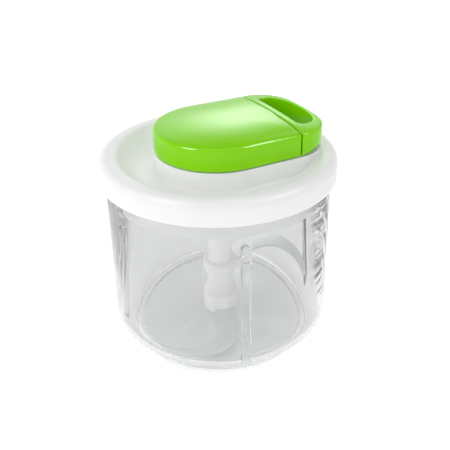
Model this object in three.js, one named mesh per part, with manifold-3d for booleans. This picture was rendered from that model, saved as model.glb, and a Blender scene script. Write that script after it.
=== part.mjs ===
// A hand-pulled food chopper: a clear bowl with a turning blade column, a white lid and
// a green pull mechanism whose loop handle draws a cord off a sprung spool.
// Millimetres, +Z up. The origin is the middle of the bowl's foot, on the table.
// +X is the way that the handle is pulled.
import * as THREE from "three";
import { mergeVertices } from "three/addons/utils/BufferGeometryUtils.js";
import Module from "manifold-3d";

const wasm = await Module();
wasm.setup();

// Clearances and allowances shared by all pieces
const seatGap = 0.3;
const runGap = 0.6;
const cutOver = 1;
const mergeTolerance = 0.0001;

// How finely round shapes are cut, in counts
const wideSegments = 48;
const midSegments = 24;
const smallSegments = 12;
const arcSteps = 4;
const outlineSteps = 56;
const quarterShares = [0, 0.25, 0.5, 0.75, 1];

// Bowl
const bowlRadius = 61.8;
const bowlWall = 2.6;
const bowlHeight = 106;
const bowlCorner = 13.5;
const footHeight = 3.5;
const footSetback = 9.3;
const footWidth = 4;
const floorThickness = 3.6;
const rimBevel = 0.6;
const ribCount = 4;
const ribWidth = 4.9;
const ribDepth = 3;
const ribBelowPlug = 4.2;
const ribTurn = THREE.MathUtils.degToRad(-103.2);

// Pivot in the bowl's floor
const bossFootRadius = 6.7;
const bossTopRadius = 6.2;
const bossHeight = 14;
const pinRadius = 3;
const pinLength = 36;
const pinSeatDepth = 12;

// Blade column and blades
const hubRadius = 10.2;
const hubHeight = 14;
const stemFootRadius = 7.6;
const stemTopRadius = 6.4;
const stemShoulder = 4;
const collarHeight = 7;
const collarBevel = 1.2;
const headAcross = 9.4;
const headHeight = 11.5;
const bladeThickness = 1;
const bladeRootWidth = 12;
const bladeTipWidth = 1.6;
const bladeRibGap = 4.7;
const bladeSweep = THREE.MathUtils.degToRad(55);
const bladeBury = 1.6;
const bladeSteps = 10;
const bladeAboveFloor = 2.9;
const bladeStepZ = 24;
const bladeNames = ["blade_lower", "blade_middle", "blade_upper"];
const bladeFirstTurn = THREE.MathUtils.degToRad(-103);
const bladeTurnStep = THREE.MathUtils.degToRad(120);

// Lid cover
const skirtGap = 0.7;
const skirtWall = 2.5;
const skirtDepth = 8.7;
const crestAboveRim = 4.5;
const crestRound = 7.9;
const coverWall = 2.4;
const crestInnerRise = 1.3;
const crestInnerWidth = 1.9;
const dishBelowRim = 5.5;
const dishSetback = 23;
const flankSteps = 4;

// Inner lid, its seal and its screws
const plugWall = 2.2;
const plugDepth = 18.8;
const sealHeight = 2.4;
const sealDepth = 1.3;
const sealBelowRim = 4.3;
const collarWall = 2;
const collarDrop = 1.1;
const linerScrewInset = 13.6;
const linerScrewTurns = [75, 180, 285].map(THREE.MathUtils.degToRad);
const postRadius = 3.6;

// Plan outline of the plinth, the housing and the handle together
const postWallGap = 0.4;
const noseSetback = 4;
const noseY = 12.4;
const noseCorner = 21.4;
const noseRadius = 150;

// Plinth and green housing
const plinthBelowEyelet = 1;
const plinthWall = 2.4;
const housingWall = 2.2;
const housingHeadroom = 2.3;
const edgeRound = 2.4;
const domeRise = 1.6;
const domeWidth = 14;
const domeSteps = 3;
const cordRun = 7.8;
const seamGap = 0.7;

// Handle
const barWidth = 4.5;
const loopWidth = 3.2;
const holeHalfWidth = 22.5;
const holeCorner = 3.5;
const corePadWidth = 12;

// Screws
const screwHeadRadius = 3;
const screwHeadHeight = 1.4;
const screwShankRadius = 1.3;
const linerScrewLength = 9;
const housingScrewLength = 16;
const housingPostGap = 3.1;
const housingScrewCount = 4;
const housingPostRadius = 3.2;

// Drive coupler, its bush and its ratchet wheel
const couplerShoulder = 2;
const couplerWeb = 2.5;
const socketDepth = 12;
const shaftRadius = 7;
const bushWall = 1.9;
const bushFlange = 1.8;
const bushFlangeHeight = 0.8;
const ratchetHeight = 3.6;
const ratchetRootWall = 2.3;
const ratchetToothHeight = 3;
const ratchetTeeth = 8;
const ratchetFaceTurn = THREE.MathUtils.degToRad(132);

// Pawls
const pawlCount = 2;
const pawlGap = 2.8;
const pawlPivotTurn = THREE.MathUtils.degToRad(90);
const pawlNoseTurn = THREE.MathUtils.degToRad(124.5);
const pawlNoseHeight = 1.9;
const pawlNoseRound = 0.9;
const pawlEyeRadius = 2.4;
const pawlPinRadius = 1.1;
const pawlPinHead = 0.4;
const pawlPinHeadRadius = 2.2;

// Spool, spring and axle
const axleRadius = 2.5;
const axleFootDepth = 7;
const axleTopDepth = 2.3;
const plateThickness = 1.2;
const barrelHeight = 5.3;
const barrelWall = 1.6;
const plateRim = 4.5;
const flangeThickness = 1.4;
const drumRadius = 13.5;
const drumHeight = 5.2;
const axleBossWall = 2.7;
const arborWall = 1.6;
const springThickness = 0.5;
const springTurns = 7;
const springStepsPerTurn = 12;

// Cord
const cordRadius = 1;
const cordLayers = 2;
const cordSides = 8;
const cordPathSteps = 16;
const eyeletWall = 1.7;
const eyeletFlange = 1.2;
const eyeletFlangeThickness = 0.8;
const cordBendLead = 1.6;
const knotRadius = 2;
const knotSeatDepth = 3;

// Bowl and pivot, as they follow from the sizes above
const bowlInnerRadius = bowlRadius - bowlWall;
const footRadius = bowlRadius - footSetback;
const cornerCentreR = bowlRadius - bowlCorner;
const cornerCentreZ = footHeight + bowlCorner;
const floorZ = cornerCentreZ - (bowlCorner - bowlWall);
const baseUnderZ = floorZ - floorThickness;
const bossTopZ = floorZ + bossHeight;
const pinFootZ = bossTopZ - pinSeatDepth + seatGap;
const pinTopZ = pinFootZ + pinLength;

// Lid, as it follows from the bowl
const lidRadius = bowlRadius + skirtGap + skirtWall;
const skirtEdgeZ = bowlHeight - skirtDepth;
const lidCrestZ = bowlHeight + crestAboveRim;
const channelZ = bowlHeight + seatGap;
const dishZ = bowlHeight - dishBelowRim;
const dishUnderZ = dishZ - coverWall;
const dishRadius = lidRadius - dishSetback;
const flankTopR = lidRadius - crestRound - crestInnerWidth;
const flankTopZ = lidCrestZ - crestInnerRise;
const flankCurve = (flankTopZ - dishZ) / (flankTopR - dishRadius) ** 2;
const plugRadius = bowlInnerRadius - runGap;
const plugEdgeZ = bowlHeight - plugDepth;
const linerTopZ = plugEdgeZ + plugWall;
const linerScrewCircle = plugRadius - linerScrewInset;
const sealTopZ = bowlHeight - sealBelowRim;
const collarTopZ = dishUnderZ - collarDrop;
const ribTopZ = plugEdgeZ - ribBelowPlug;

// Drive, from the bush in the lid's floor up through the ratchet and down to the column
const bushRadius = shaftRadius + seatGap + bushWall;
const bushFootZ = dishUnderZ;
const bushTopZ = dishZ + seatGap + bushFlangeHeight;
const couplerRadius = shaftRadius + couplerShoulder;
const couplerShoulderZ = bushFootZ - seatGap;
const ratchetFootZ = bushTopZ + seatGap;
const ratchetTopZ = ratchetFootZ + ratchetHeight;
const ratchetRootRadius = shaftRadius + ratchetRootWall;
const ratchetTipRadius = ratchetRootRadius + ratchetToothHeight;
const pawlPivotRadius = ratchetTipRadius + pawlGap + pawlEyeRadius;
const axleFootZ = ratchetTopZ - axleFootDepth;
const couplerFootZ = axleFootZ - couplerWeb - socketDepth;
const headTopZ = couplerFootZ + socketDepth - runGap;
const stemTopZ = headTopZ - headHeight;
const bladeReach = bowlInnerRadius - ribDepth - bladeRibGap;
const bladeLowerZ = floorZ + bladeAboveFloor;

// Spool, spring and cord above the ratchet
const spoolRadius = pawlPivotRadius + plateRim;
const plateZ = ratchetTopZ + runGap;
const barrelFootZ = plateZ + plateThickness + seatGap;
const barrelTopZ = barrelFootZ + barrelHeight;
const drumFootZ = barrelTopZ + flangeThickness;
const drumTopZ = drumFootZ + drumHeight;
const spoolTopZ = drumTopZ + flangeThickness;
const cordZ = (drumFootZ + drumTopZ) / 2;
const springFootZ = barrelFootZ + seatGap;
const springTopZ = barrelTopZ - seatGap;
const arborRadius = axleRadius + seatGap + arborWall;
const windingRadius = drumRadius + 2 * cordLayers * cordRadius;
const eyeletBore = cordRadius + runGap;
const eyeletRadius = eyeletBore + eyeletWall;

// Plinth, housing and handle round the works
const plinthTopZ = cordZ - eyeletRadius - eyeletFlange - plinthBelowEyelet;
const housingFootZ = plinthTopZ + seatGap;
const housingTopZ = spoolTopZ + housingHeadroom + housingWall;
const axleTopZ = housingTopZ + domeRise - axleTopDepth;
const housingScrewCircle = spoolRadius + housingPostGap + housingPostRadius;
const tailRadius = housingScrewCircle + housingPostRadius + postWallGap + plinthWall;
const seamX = spoolRadius + cordRun + housingWall;
const handleX = seamX + seamGap;
const holeX = handleX + barWidth;
const noseX = holeX - noseSetback;
const noseCentreX = noseX - Math.sqrt((noseRadius - noseCorner) ** 2 - noseY ** 2);
const holeDepth = noseCentreX + noseRadius - loopWidth - holeX;

// Builds a closed solid from an indexed or plain geometry.
function toSolid(geometry) {
  const bare = geometry.clone();
  bare.deleteAttribute("normal");
  bare.deleteAttribute("uv");
  const merged = mergeVertices(bare, mergeTolerance);
  const index = merged.index.array;
  const triangles = [];
  for (let i = 0; i < index.length; i += 3) {
    const [a, b, c] = [index[i], index[i + 1], index[i + 2]];
    if (a !== b && b !== c && c !== a) triangles.push(a, b, c);
  }
  const solid = fromTriangles(merged.attributes.position.array, triangles);
  if (solid.volume() > 0) return solid;
  return fromTriangles(merged.attributes.position.array, triangles.reverse());
}

function fromTriangles(positions, triangles) {
  const vertProperties = new Float32Array(positions);
  const triVerts = new Uint32Array(triangles);
  return new wasm.Manifold(new wasm.Mesh({ numProp: 3, vertProperties, triVerts }));
}

function toGeometry(solid) {
  const mesh = solid.getMesh();
  const geometry = new THREE.BufferGeometry();
  geometry.setAttribute("position", new THREE.BufferAttribute(mesh.vertProperties, 3));
  geometry.setIndex(new THREE.BufferAttribute(mesh.triVerts, 1));
  geometry.computeVertexNormals();
  return geometry;
}

function join(first, ...others) {
  return others.reduce((sum, other) => sum.add(other), first);
}

function cut(first, ...others) {
  return others.reduce((rest, other) => rest.subtract(other), first);
}

// A solid turned about Z from a closed profile of [radius, height] points.
function turned(profile, segments) {
  const points = profile.map(([radius, height]) => new THREE.Vector2(radius, height));
  points.push(points[0].clone());
  const geometry = new THREE.LatheGeometry(points, segments);
  geometry.rotateX(Math.PI / 2);
  return toSolid(geometry);
}

function disc(radius, low, high, segments) {
  return turned([[0, low], [radius, low], [radius, high], [0, high]], segments);
}

function tube(innerRadius, outerRadius, low, high, segments) {
  return turned([
    [innerRadius, low], [outerRadius, low], [outerRadius, high], [innerRadius, high],
  ], segments);
}

function box(xRange, yRange, zRange) {
  const size = [xRange, yRange, zRange].map(([low, high]) => high - low);
  const middle = [xRange, yRange, zRange].map(([low, high]) => (low + high) / 2);
  return toSolid(new THREE.BoxGeometry(...size).translate(...middle));
}

function extruded(shape, low, high, curveSegments = smallSegments) {
  const options = { depth: high - low, bevelEnabled: false, curveSegments };
  return toSolid(new THREE.ExtrudeGeometry(shape, options).translate(0, 0, low));
}

// A solid skinned over rings that hold the same number of points, with flat ends.
function skinned(rings) {
  const count = rings[0].length;
  const positions = rings.flat().flatMap((point) => point.toArray());
  const triangles = [];
  for (let ring = 0; ring + 1 < rings.length; ring += 1) {
    for (let i = 0; i < count; i += 1) {
      const [a, b] = [ring * count + i, ring * count + ((i + 1) % count)];
      triangles.push(a, b, b + count, a, b + count, a + count);
    }
  }
  for (const [ring, flip] of [[0, true], [rings.length - 1, false]]) {
    const middle = new THREE.Vector3();
    rings[ring].forEach((point) => middle.addScaledVector(point, 1 / count));
    const centre = positions.length / 3;
    positions.push(...middle.toArray());
    for (let i = 0; i < count; i += 1) {
      const edge = [ring * count + i, ring * count + ((i + 1) % count)];
      triangles.push(centre, ...(flip ? edge.reverse() : edge));
    }
  }
  const geometry = new THREE.BufferGeometry();
  geometry.setAttribute("position", new THREE.Float32BufferAttribute(positions, 3));
  geometry.setIndex(triangles);
  return toSolid(geometry);
}

// Points of an arc in a profile, from one angle to another in degrees.
function arc(centreR, centreZ, radius, from, to, steps = arcSteps) {
  return Array.from({ length: steps + 1 }, (_, i) => {
    const angle = THREE.MathUtils.degToRad(from + ((to - from) * i) / steps);
    return [centreR + radius * Math.cos(angle), centreZ + radius * Math.sin(angle)];
  });
}

function polar(radius, angle) {
  return [radius * Math.cos(angle), radius * Math.sin(angle)];
}

function spun(solid, angle) {
  return solid.rotate([0, 0, THREE.MathUtils.radToDeg(angle)]);
}

// Angles of a number of places spread evenly over a full turn.
function evenTurns(count) {
  return Array.from({ length: count }, (_, i) => (i / count) * 2 * Math.PI);
}

// The point of the shared plan outline that faces one direction, drawn in by an inset.
function outlinePoint(direction, inset) {
  const ray = new THREE.Vector2(...polar(1, direction));
  const noseHalfAngle = Math.atan2(noseY, noseX - noseCentreX);
  const circles = [[0, 0, tailRadius], [noseX, noseY, noseCorner], [noseX, -noseY, noseCorner]];
  const facing = Math.atan2(ray.y, ray.x);
  const [x, y, radius] = Math.abs(facing) < noseHalfAngle
    ? [noseCentreX, 0, noseRadius]
    : circles.reduce((best, next) => (reach(next, ray) > reach(best, ray) ? next : best));
  return ray.multiplyScalar(radius - inset).add(new THREE.Vector2(x, y));
}

function reach([x, y, radius], ray) {
  return x * ray.x + y * ray.y + radius;
}

function outlineRing(inset, height) {
  return evenTurns(outlineSteps).map((direction) => {
    const point = outlinePoint(direction, inset);
    return new THREE.Vector3(point.x, point.y, height);
  });
}

function outlineBlock(inset, low, high) {
  return skinned([outlineRing(inset, low), outlineRing(inset, high)]);
}

// The half of space on one side of a plane across X, as a box that holds the whole part.
function sideOf(x, towardsPlus) {
  const far = 2 * lidRadius;
  return box(towardsPlus ? [x, far] : [-far, x], [-far, far], [-far, far + lidCrestZ]);
}

// The domed block that the housing and the handle are both cut from, drawn in by a wall.
function domedBlock(inset, low) {
  const top = housingTopZ - inset;
  const rings = [outlineRing(inset, low)];
  for (const [radius, height] of arc(0, top - edgeRound, edgeRound, 0, 90)) {
    rings.push(outlineRing(inset + edgeRound - radius, height));
  }
  for (let i = 1; i <= domeSteps; i += 1) {
    const share = i / domeSteps;
    const rise = domeRise * (1 - (1 - share) ** 2);
    rings.push(outlineRing(inset + edgeRound + domeWidth * share, top + rise));
  }
  return skinned(rings);
}

function bowlSolid() {
  const footAngle = -THREE.MathUtils.radToDeg(Math.acos((footRadius - cornerCentreR) / bowlCorner));
  const blank = turned([
    [0, baseUnderZ], [footRadius - footWidth, baseUnderZ], [footRadius - footWidth, 0], [footRadius, 0],
    ...arc(cornerCentreR, cornerCentreZ, bowlCorner, footAngle, 0),
    [bowlRadius, bowlHeight - rimBevel], [bowlRadius - rimBevel, bowlHeight], [0, bowlHeight],
  ], wideSegments);
  const cavity = turned([
    [0, floorZ], ...arc(cornerCentreR, cornerCentreZ, bowlCorner - bowlWall, -90, 0),
    [bowlInnerRadius, bowlHeight + cutOver], [0, bowlHeight + cutOver],
  ], wideSegments);
  const boss = turned([
    [0, baseUnderZ + seatGap], [bossFootRadius, baseUnderZ + seatGap], [bossFootRadius, floorZ],
    [bossTopRadius, bossTopZ], [0, bossTopZ],
  ], midSegments);
  const pinHole = disc(pinRadius + seatGap, bossTopZ - pinSeatDepth, bossTopZ + cutOver, midSegments);
  const ribs = evenTurns(ribCount).map((turn) => spun(ribSolid(), ribTurn + turn));
  return cut(join(cut(blank, cut(cavity, ...ribs)), boss), pinHole);
}

// One upright rib inside the bowl's wall, with a round top.
function ribSolid() {
  const half = ribWidth / 2;
  const shape = new THREE.Shape();
  shape.moveTo(-half, floorZ);
  shape.lineTo(half, floorZ);
  shape.lineTo(half, ribTopZ - half);
  shape.absarc(0, ribTopZ - half, half, 0, Math.PI);
  shape.closePath();
  const options = { depth: ribDepth + bowlWall, bevelEnabled: false, curveSegments: smallSegments / 2 };
  const geometry = new THREE.ExtrudeGeometry(shape, options);
  geometry.rotateX(Math.PI / 2).rotateZ(Math.PI / 2);
  return toSolid(geometry.translate(bowlInnerRadius - ribDepth, 0, 0));
}

function pivotPinSolid() {
  const roundRadius = pinRadius / 2;
  return turned([
    [0, pinFootZ], [pinRadius, pinFootZ],
    ...arc(pinRadius - roundRadius, pinTopZ - roundRadius, roundRadius, 0, 90), [0, pinTopZ],
  ], midSegments);
}

function hexagon(across) {
  const corner = across / 2 / Math.cos(Math.PI / 6);
  return new THREE.Shape(evenTurns(6).map((turn) => new THREE.Vector2(...polar(corner, turn))));
}

function bladeColumnSolid() {
  const hubFootZ = floorZ + seatGap;
  const hubTopZ = hubFootZ + hubHeight;
  const stem = turned([
    [bossFootRadius + runGap, hubFootZ], [hubRadius, hubFootZ], [hubRadius, hubTopZ - stemShoulder],
    [stemFootRadius, hubTopZ], [stemTopRadius, stemTopZ], [0, stemTopZ],
    [0, bossTopZ + runGap], [bossTopRadius + runGap, bossTopZ + runGap],
  ], midSegments);
  const head = extruded(hexagon(headAcross), stemTopZ - stemShoulder, headTopZ);
  const places = bladePlaces();
  const collars = places.slice(1).map(({ z }) => bladeCollar().translate([0, 0, z]));
  const slots = places.map(({ turn, z }) => spun(bladeSolid(seatGap), turn).translate([0, 0, z]));
  const pinBore = disc(pinRadius + seatGap, bossTopZ, pinTopZ + runGap, midSegments);
  return cut(join(stem, head, ...collars), ...slots, pinBore);
}

// A ring round the stem that a blade's root is let into.
function bladeCollar() {
  const half = collarHeight / 2;
  return turned([
    [0, -half], [hubRadius - collarBevel, -half], [hubRadius, collarBevel - half],
    [hubRadius, half - collarBevel], [hubRadius - collarBevel, half], [0, half],
  ], midSegments);
}

function bladePlaces() {
  return bladeNames.map((name, i) => ({
    name,
    turn: bladeFirstTurn + i * bladeTurnStep,
    z: bladeLowerZ + i * bladeStepZ,
  }));
}

// The middle line of a blade: straight out of its collar, then swept back round the wall.
function bladeSpine() {
  const rootR = hubRadius - bladeBury;
  return new THREE.SplineCurve(quarterShares.map((share) => {
    const radius = rootR + (bladeReach - rootR) * Math.sin((share * Math.PI) / 2);
    return new THREE.Vector2(...polar(radius, -bladeSweep * share ** 2));
  }));
}

// One flat sickle blade; grow widens it on all sides into the slot for its root.
function bladeSolid(grow = 0) {
  const spine = bladeSpine();
  const front = [];
  const back = [];
  for (let i = 0; i <= bladeSteps; i += 1) {
    const share = i / bladeSteps;
    const along = spine.getTangent(share);
    const half = THREE.MathUtils.lerp(bladeRootWidth, bladeTipWidth, share ** 3) / 2 + grow;
    const point = spine.getPoint(share).addScaledVector(along, i === 0 ? -grow : 0);
    front.push(new THREE.Vector2(-along.y, along.x).multiplyScalar(half).add(point));
    back.unshift(new THREE.Vector2(along.y, -along.x).multiplyScalar(half).add(point));
  }
  const half = bladeThickness / 2 + grow;
  return extruded(new THREE.Shape([...front, ...back]), -half, half);
}

// Points of the lid's dished flank between the dish and the crest.
function flankPoints(drop) {
  return Array.from({ length: flankSteps + 1 }, (_, i) => {
    const radius = dishRadius + ((flankTopR - dishRadius) * i) / flankSteps;
    return [radius, dishZ - drop + flankCurve * (radius - dishRadius) ** 2];
  });
}

function lidCoverSolid() {
  const crestCentreZ = lidCrestZ - crestRound;
  const under = flankPoints(coverWall).filter(([, height]) => height < channelZ);
  const crown = turned([
    [0, skirtEdgeZ], [lidRadius, skirtEdgeZ],
    ...arc(lidRadius - crestRound, crestCentreZ, crestRound, 0, 90),
    ...flankPoints(0).reverse(), [0, dishZ],
  ], wideSegments);
  const hollow = turned([
    [0, skirtEdgeZ - cutOver], [lidRadius - skirtWall, skirtEdgeZ - cutOver],
    [lidRadius - skirtWall, channelZ], [flankTopR, channelZ], ...under.reverse(), [0, dishUnderZ],
  ], wideSegments);
  const plinth = outlineBlock(0, dishUnderZ, plinthTopZ);
  const works = outlineBlock(plinthWall, dishZ, plinthTopZ + cutOver)
    .intersect(sideOf(seamX - plinthWall, false));
  const pocket = outlineBlock(plinthWall, dishUnderZ - cutOver, plinthTopZ - plinthWall)
    .intersect(sideOf(seamX, true));
  const drive = disc(bushRadius + seatGap, dishUnderZ - cutOver, plinthTopZ, midSegments);
  const posts = linerScrewTurns.map((turn) => at(linerPost(), linerScrewCircle, turn));
  const postHoles = linerScrewTurns.map((turn) => at(linerPostHole(), linerScrewCircle, turn));
  const screwHoles = housingScrewTurns().map((turn) => at(floorScrewHole(), housingScrewCircle, turn));
  const body = cut(join(crown, plinth), hollow, works, pocket, drive);
  return cut(join(body, ...posts), ...postHoles, ...screwHoles);
}

function at(solid, radius, turn) {
  return solid.translate([...polar(radius, turn), 0]);
}

function linerPost() {
  return disc(postRadius, linerTopZ + seatGap, dishUnderZ + coverWall / 2, smallSegments);
}

function linerPostHole() {
  const top = linerScrewFootZ() + linerScrewLength + seatGap;
  return disc(screwShankRadius + seatGap, linerTopZ - cutOver, top, smallSegments);
}

function floorScrewHole() {
  return disc(screwShankRadius + seatGap, dishUnderZ - cutOver, dishZ + cutOver, smallSegments);
}

function housingScrewTurns() {
  return evenTurns(housingScrewCount).map((turn) => turn + Math.PI / housingScrewCount);
}

function linerScrewFootZ() {
  return plugEdgeZ + seatGap;
}

function innerLidSolid() {
  const holeRadius = couplerRadius + runGap;
  const grooveFootZ = sealTopZ - sealHeight - seatGap;
  const plug = turned([
    [holeRadius, plugEdgeZ], [plugRadius, plugEdgeZ], [plugRadius, grooveFootZ],
    [plugRadius - sealDepth, grooveFootZ], [plugRadius - sealDepth, sealTopZ + seatGap],
    [plugRadius, sealTopZ + seatGap], [plugRadius, bowlHeight], [plugRadius - plugWall, bowlHeight],
    [plugRadius - plugWall, linerTopZ], [holeRadius + collarWall, linerTopZ],
    [holeRadius + collarWall, collarTopZ], [holeRadius, collarTopZ],
  ], wideSegments);
  const sinkTopZ = linerScrewFootZ() + screwHeadHeight;
  const sink = join(
    disc(screwHeadRadius + seatGap, plugEdgeZ - cutOver, sinkTopZ, smallSegments),
    disc(screwShankRadius + seatGap, plugEdgeZ, linerTopZ + cutOver, smallSegments),
  );
  return cut(plug, ...linerScrewTurns.map((turn) => at(sink, linerScrewCircle, turn)));
}

function sealRingSolid() {
  const inner = plugRadius - sealDepth + seatGap;
  return tube(inner, bowlInnerRadius - seatGap, sealTopZ - sealHeight, sealTopZ, wideSegments);
}

// A round-headed screw that stands on its head, its shank up.
function screwSolid(length) {
  const bevel = screwHeadHeight / 4;
  return turned([
    [0, 0], [screwHeadRadius - bevel, 0], [screwHeadRadius, bevel],
    [screwHeadRadius, screwHeadHeight - seatGap],
    [screwShankRadius, screwHeadHeight - seatGap], [screwShankRadius, length - screwShankRadius],
    [0, length],
  ], smallSegments);
}

function driveBushSolid() {
  return turned([
    [shaftRadius + seatGap, bushFootZ], [bushRadius, bushFootZ], [bushRadius, dishZ + seatGap],
    [bushRadius + bushFlange, dishZ + seatGap], [bushRadius + bushFlange, bushTopZ],
    [shaftRadius + seatGap, bushTopZ],
  ], midSegments);
}

function driveCouplerSolid() {
  const body = turned([
    [0, couplerFootZ], [couplerRadius, couplerFootZ], [couplerRadius, couplerShoulderZ],
    [shaftRadius, couplerShoulderZ], [shaftRadius, ratchetTopZ], [0, ratchetTopZ],
  ], midSegments);
  const wheel = extruded(ratchetShape(), ratchetFootZ, ratchetTopZ);
  const socketShape = hexagon(headAcross + 2 * seatGap);
  const socket = extruded(socketShape, couplerFootZ - cutOver, couplerFootZ + socketDepth);
  const axleHole = disc(axleRadius + seatGap, axleFootZ - seatGap, ratchetTopZ + cutOver, midSegments);
  return cut(join(body, wheel), socket, axleHole);
}

// Saw teeth whose steep faces look against the way that the spool is pulled round.
function ratchetShape() {
  const points = [];
  for (let tooth = 0; tooth < ratchetTeeth; tooth += 1) {
    for (const share of quarterShares) {
      const angle = ratchetFaceTurn + ((tooth + share) / ratchetTeeth) * 2 * Math.PI;
      const radius = THREE.MathUtils.lerp(ratchetTipRadius, ratchetRootRadius, share);
      points.push(new THREE.Vector2(...polar(radius, angle)));
    }
  }
  return new THREE.Shape(points);
}

// A pawl about its own pivot: a round eye tapering to a round nose.
function pawlSolid() {
  const nose = pawlNoseOffset();
  const length = nose.length();
  const heading = Math.atan2(nose.y, nose.x);
  const lean = Math.acos((pawlEyeRadius - pawlNoseRound) / length);
  const shape = new THREE.Shape();
  shape.absarc(0, 0, pawlEyeRadius, heading + lean, heading - lean + 2 * Math.PI);
  shape.absarc(nose.x, nose.y, pawlNoseRound, heading - lean, heading + lean);
  shape.closePath();
  const eye = disc(pawlPinRadius + seatGap, ratchetFootZ - cutOver, plateZ + cutOver, smallSegments);
  return cut(extruded(shape, pawlFootZ(), plateZ - seatGap, smallSegments / 2), eye);
}

function pawlNoseOffset() {
  const nose = new THREE.Vector2(...polar(ratchetRootRadius + pawlNoseHeight, pawlNoseTurn));
  return nose.sub(new THREE.Vector2(...polar(pawlPivotRadius, pawlPivotTurn)));
}

function pawlFootZ() {
  return ratchetFootZ + pawlPinHead + seatGap;
}

function pawlPinSolid() {
  return turned([
    [0, ratchetFootZ], [pawlPinHeadRadius, ratchetFootZ],
    [pawlPinHeadRadius, ratchetFootZ + pawlPinHead], [pawlPinRadius, ratchetFootZ + pawlPinHead],
    [pawlPinRadius, plateZ + plateThickness], [0, plateZ + plateThickness],
  ], smallSegments);
}

function springPlateSolid() {
  const plate = tube(axleRadius + seatGap, spoolRadius, plateZ, plateZ + plateThickness, midSegments);
  const hole = disc(pawlPinRadius + seatGap, plateZ - cutOver, barrelFootZ, smallSegments);
  const holes = evenTurns(pawlCount).map((turn) => at(hole, pawlPivotRadius, pawlPivotTurn + turn));
  return cut(plate, ...holes);
}

function spoolSolid() {
  const bore = axleRadius + seatGap;
  return turned([
    [spoolRadius - barrelWall, barrelFootZ], [spoolRadius, barrelFootZ], [spoolRadius, drumFootZ],
    [drumRadius, drumFootZ], [drumRadius, drumTopZ], [spoolRadius, drumTopZ], [spoolRadius, spoolTopZ],
    [bore, spoolTopZ], [bore, barrelTopZ], [spoolRadius - barrelWall, barrelTopZ],
  ], midSegments);
}

function cordWindingSolid() {
  return tube(drumRadius + seatGap, windingRadius, drumFootZ + seatGap, drumTopZ - seatGap, midSegments);
}

// The flat clock spring, one strip wound from the arbor out to the barrel's wall.
function mainspringSolid() {
  const innerR = arborRadius + seatGap;
  const outerR = spoolRadius - barrelWall - seatGap - springThickness;
  const steps = springTurns * springStepsPerTurn;
  const rings = [];
  for (let i = 0; i <= steps; i += 1) {
    const radius = THREE.MathUtils.lerp(innerR, outerR, i / steps);
    const angle = (i / springStepsPerTurn) * 2 * Math.PI;
    const inside = polar(radius, angle);
    const outside = polar(radius + springThickness, angle);
    rings.push([
      new THREE.Vector3(...inside, springFootZ), new THREE.Vector3(...outside, springFootZ),
      new THREE.Vector3(...outside, springTopZ), new THREE.Vector3(...inside, springTopZ),
    ]);
  }
  return skinned(rings);
}

function springArborSolid() {
  return tube(axleRadius + seatGap, arborRadius, springFootZ, springTopZ, smallSegments);
}

function axleSolid() {
  return disc(axleRadius, axleFootZ, axleTopZ, midSegments);
}

function housingSolid() {
  const inner = domedBlock(housingWall, housingFootZ - cutOver);
  const cavity = inner.intersect(sideOf(seamX - housingWall, false));
  const shell = cut(domedBlock(0, housingFootZ).intersect(sideOf(seamX, false)), cavity);
  const roof = domedBlock(housingWall / 2, dishZ);
  const bossRadius = axleRadius + axleBossWall;
  const axleBoss = disc(bossRadius, spoolTopZ + seatGap, housingTopZ + domeRise, midSegments);
  const posts = housingScrewTurns().map((turn) => at(housingPost(), housingScrewCircle, turn));
  const inside = join(axleBoss, ...posts).intersect(roof);
  const axleHole = disc(axleRadius + seatGap, spoolTopZ, axleTopZ + seatGap, midSegments);
  const screwHoles = housingScrewTurns().map((turn) => at(housingPostHole(), housingScrewCircle, turn));
  return cut(join(shell, inside), axleHole, ...screwHoles, eyeletSeat());
}

function housingPost() {
  return disc(housingPostRadius, dishZ + seatGap, housingTopZ, smallSegments);
}

function housingScrewFootZ() {
  return dishUnderZ - screwHeadHeight;
}

function housingPostHole() {
  const top = housingScrewFootZ() + housingScrewLength + seatGap;
  return disc(screwShankRadius + seatGap, dishZ - cutOver, top, smallSegments);
}

// A solid turned about the cord's line from [radius, x] points.
function turnedOnCord(profile, segments) {
  return turned(profile, segments).rotate([0, 90, 0]).translate([0, 0, cordZ]);
}

function eyeletSeat() {
  const body = eyeletRadius + seatGap;
  const flangeX = seamX - eyeletFlangeThickness - 2 * seatGap;
  return turnedOnCord([
    [0, seamX - housingWall - cutOver], [body, seamX - housingWall - cutOver], [body, flangeX],
    [body + eyeletFlange, flangeX], [body + eyeletFlange, seamX + cutOver], [0, seamX + cutOver],
  ], smallSegments);
}

function cordEyeletSolid() {
  const frontX = seamX - seatGap;
  return turnedOnCord([
    [eyeletBore, seamX - housingWall], [eyeletRadius, seamX - housingWall],
    [eyeletRadius, frontX - eyeletFlangeThickness],
    [eyeletRadius + eyeletFlange, frontX - eyeletFlangeThickness],
    [eyeletRadius + eyeletFlange, frontX], [eyeletBore, frontX],
  ], smallSegments);
}

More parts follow.
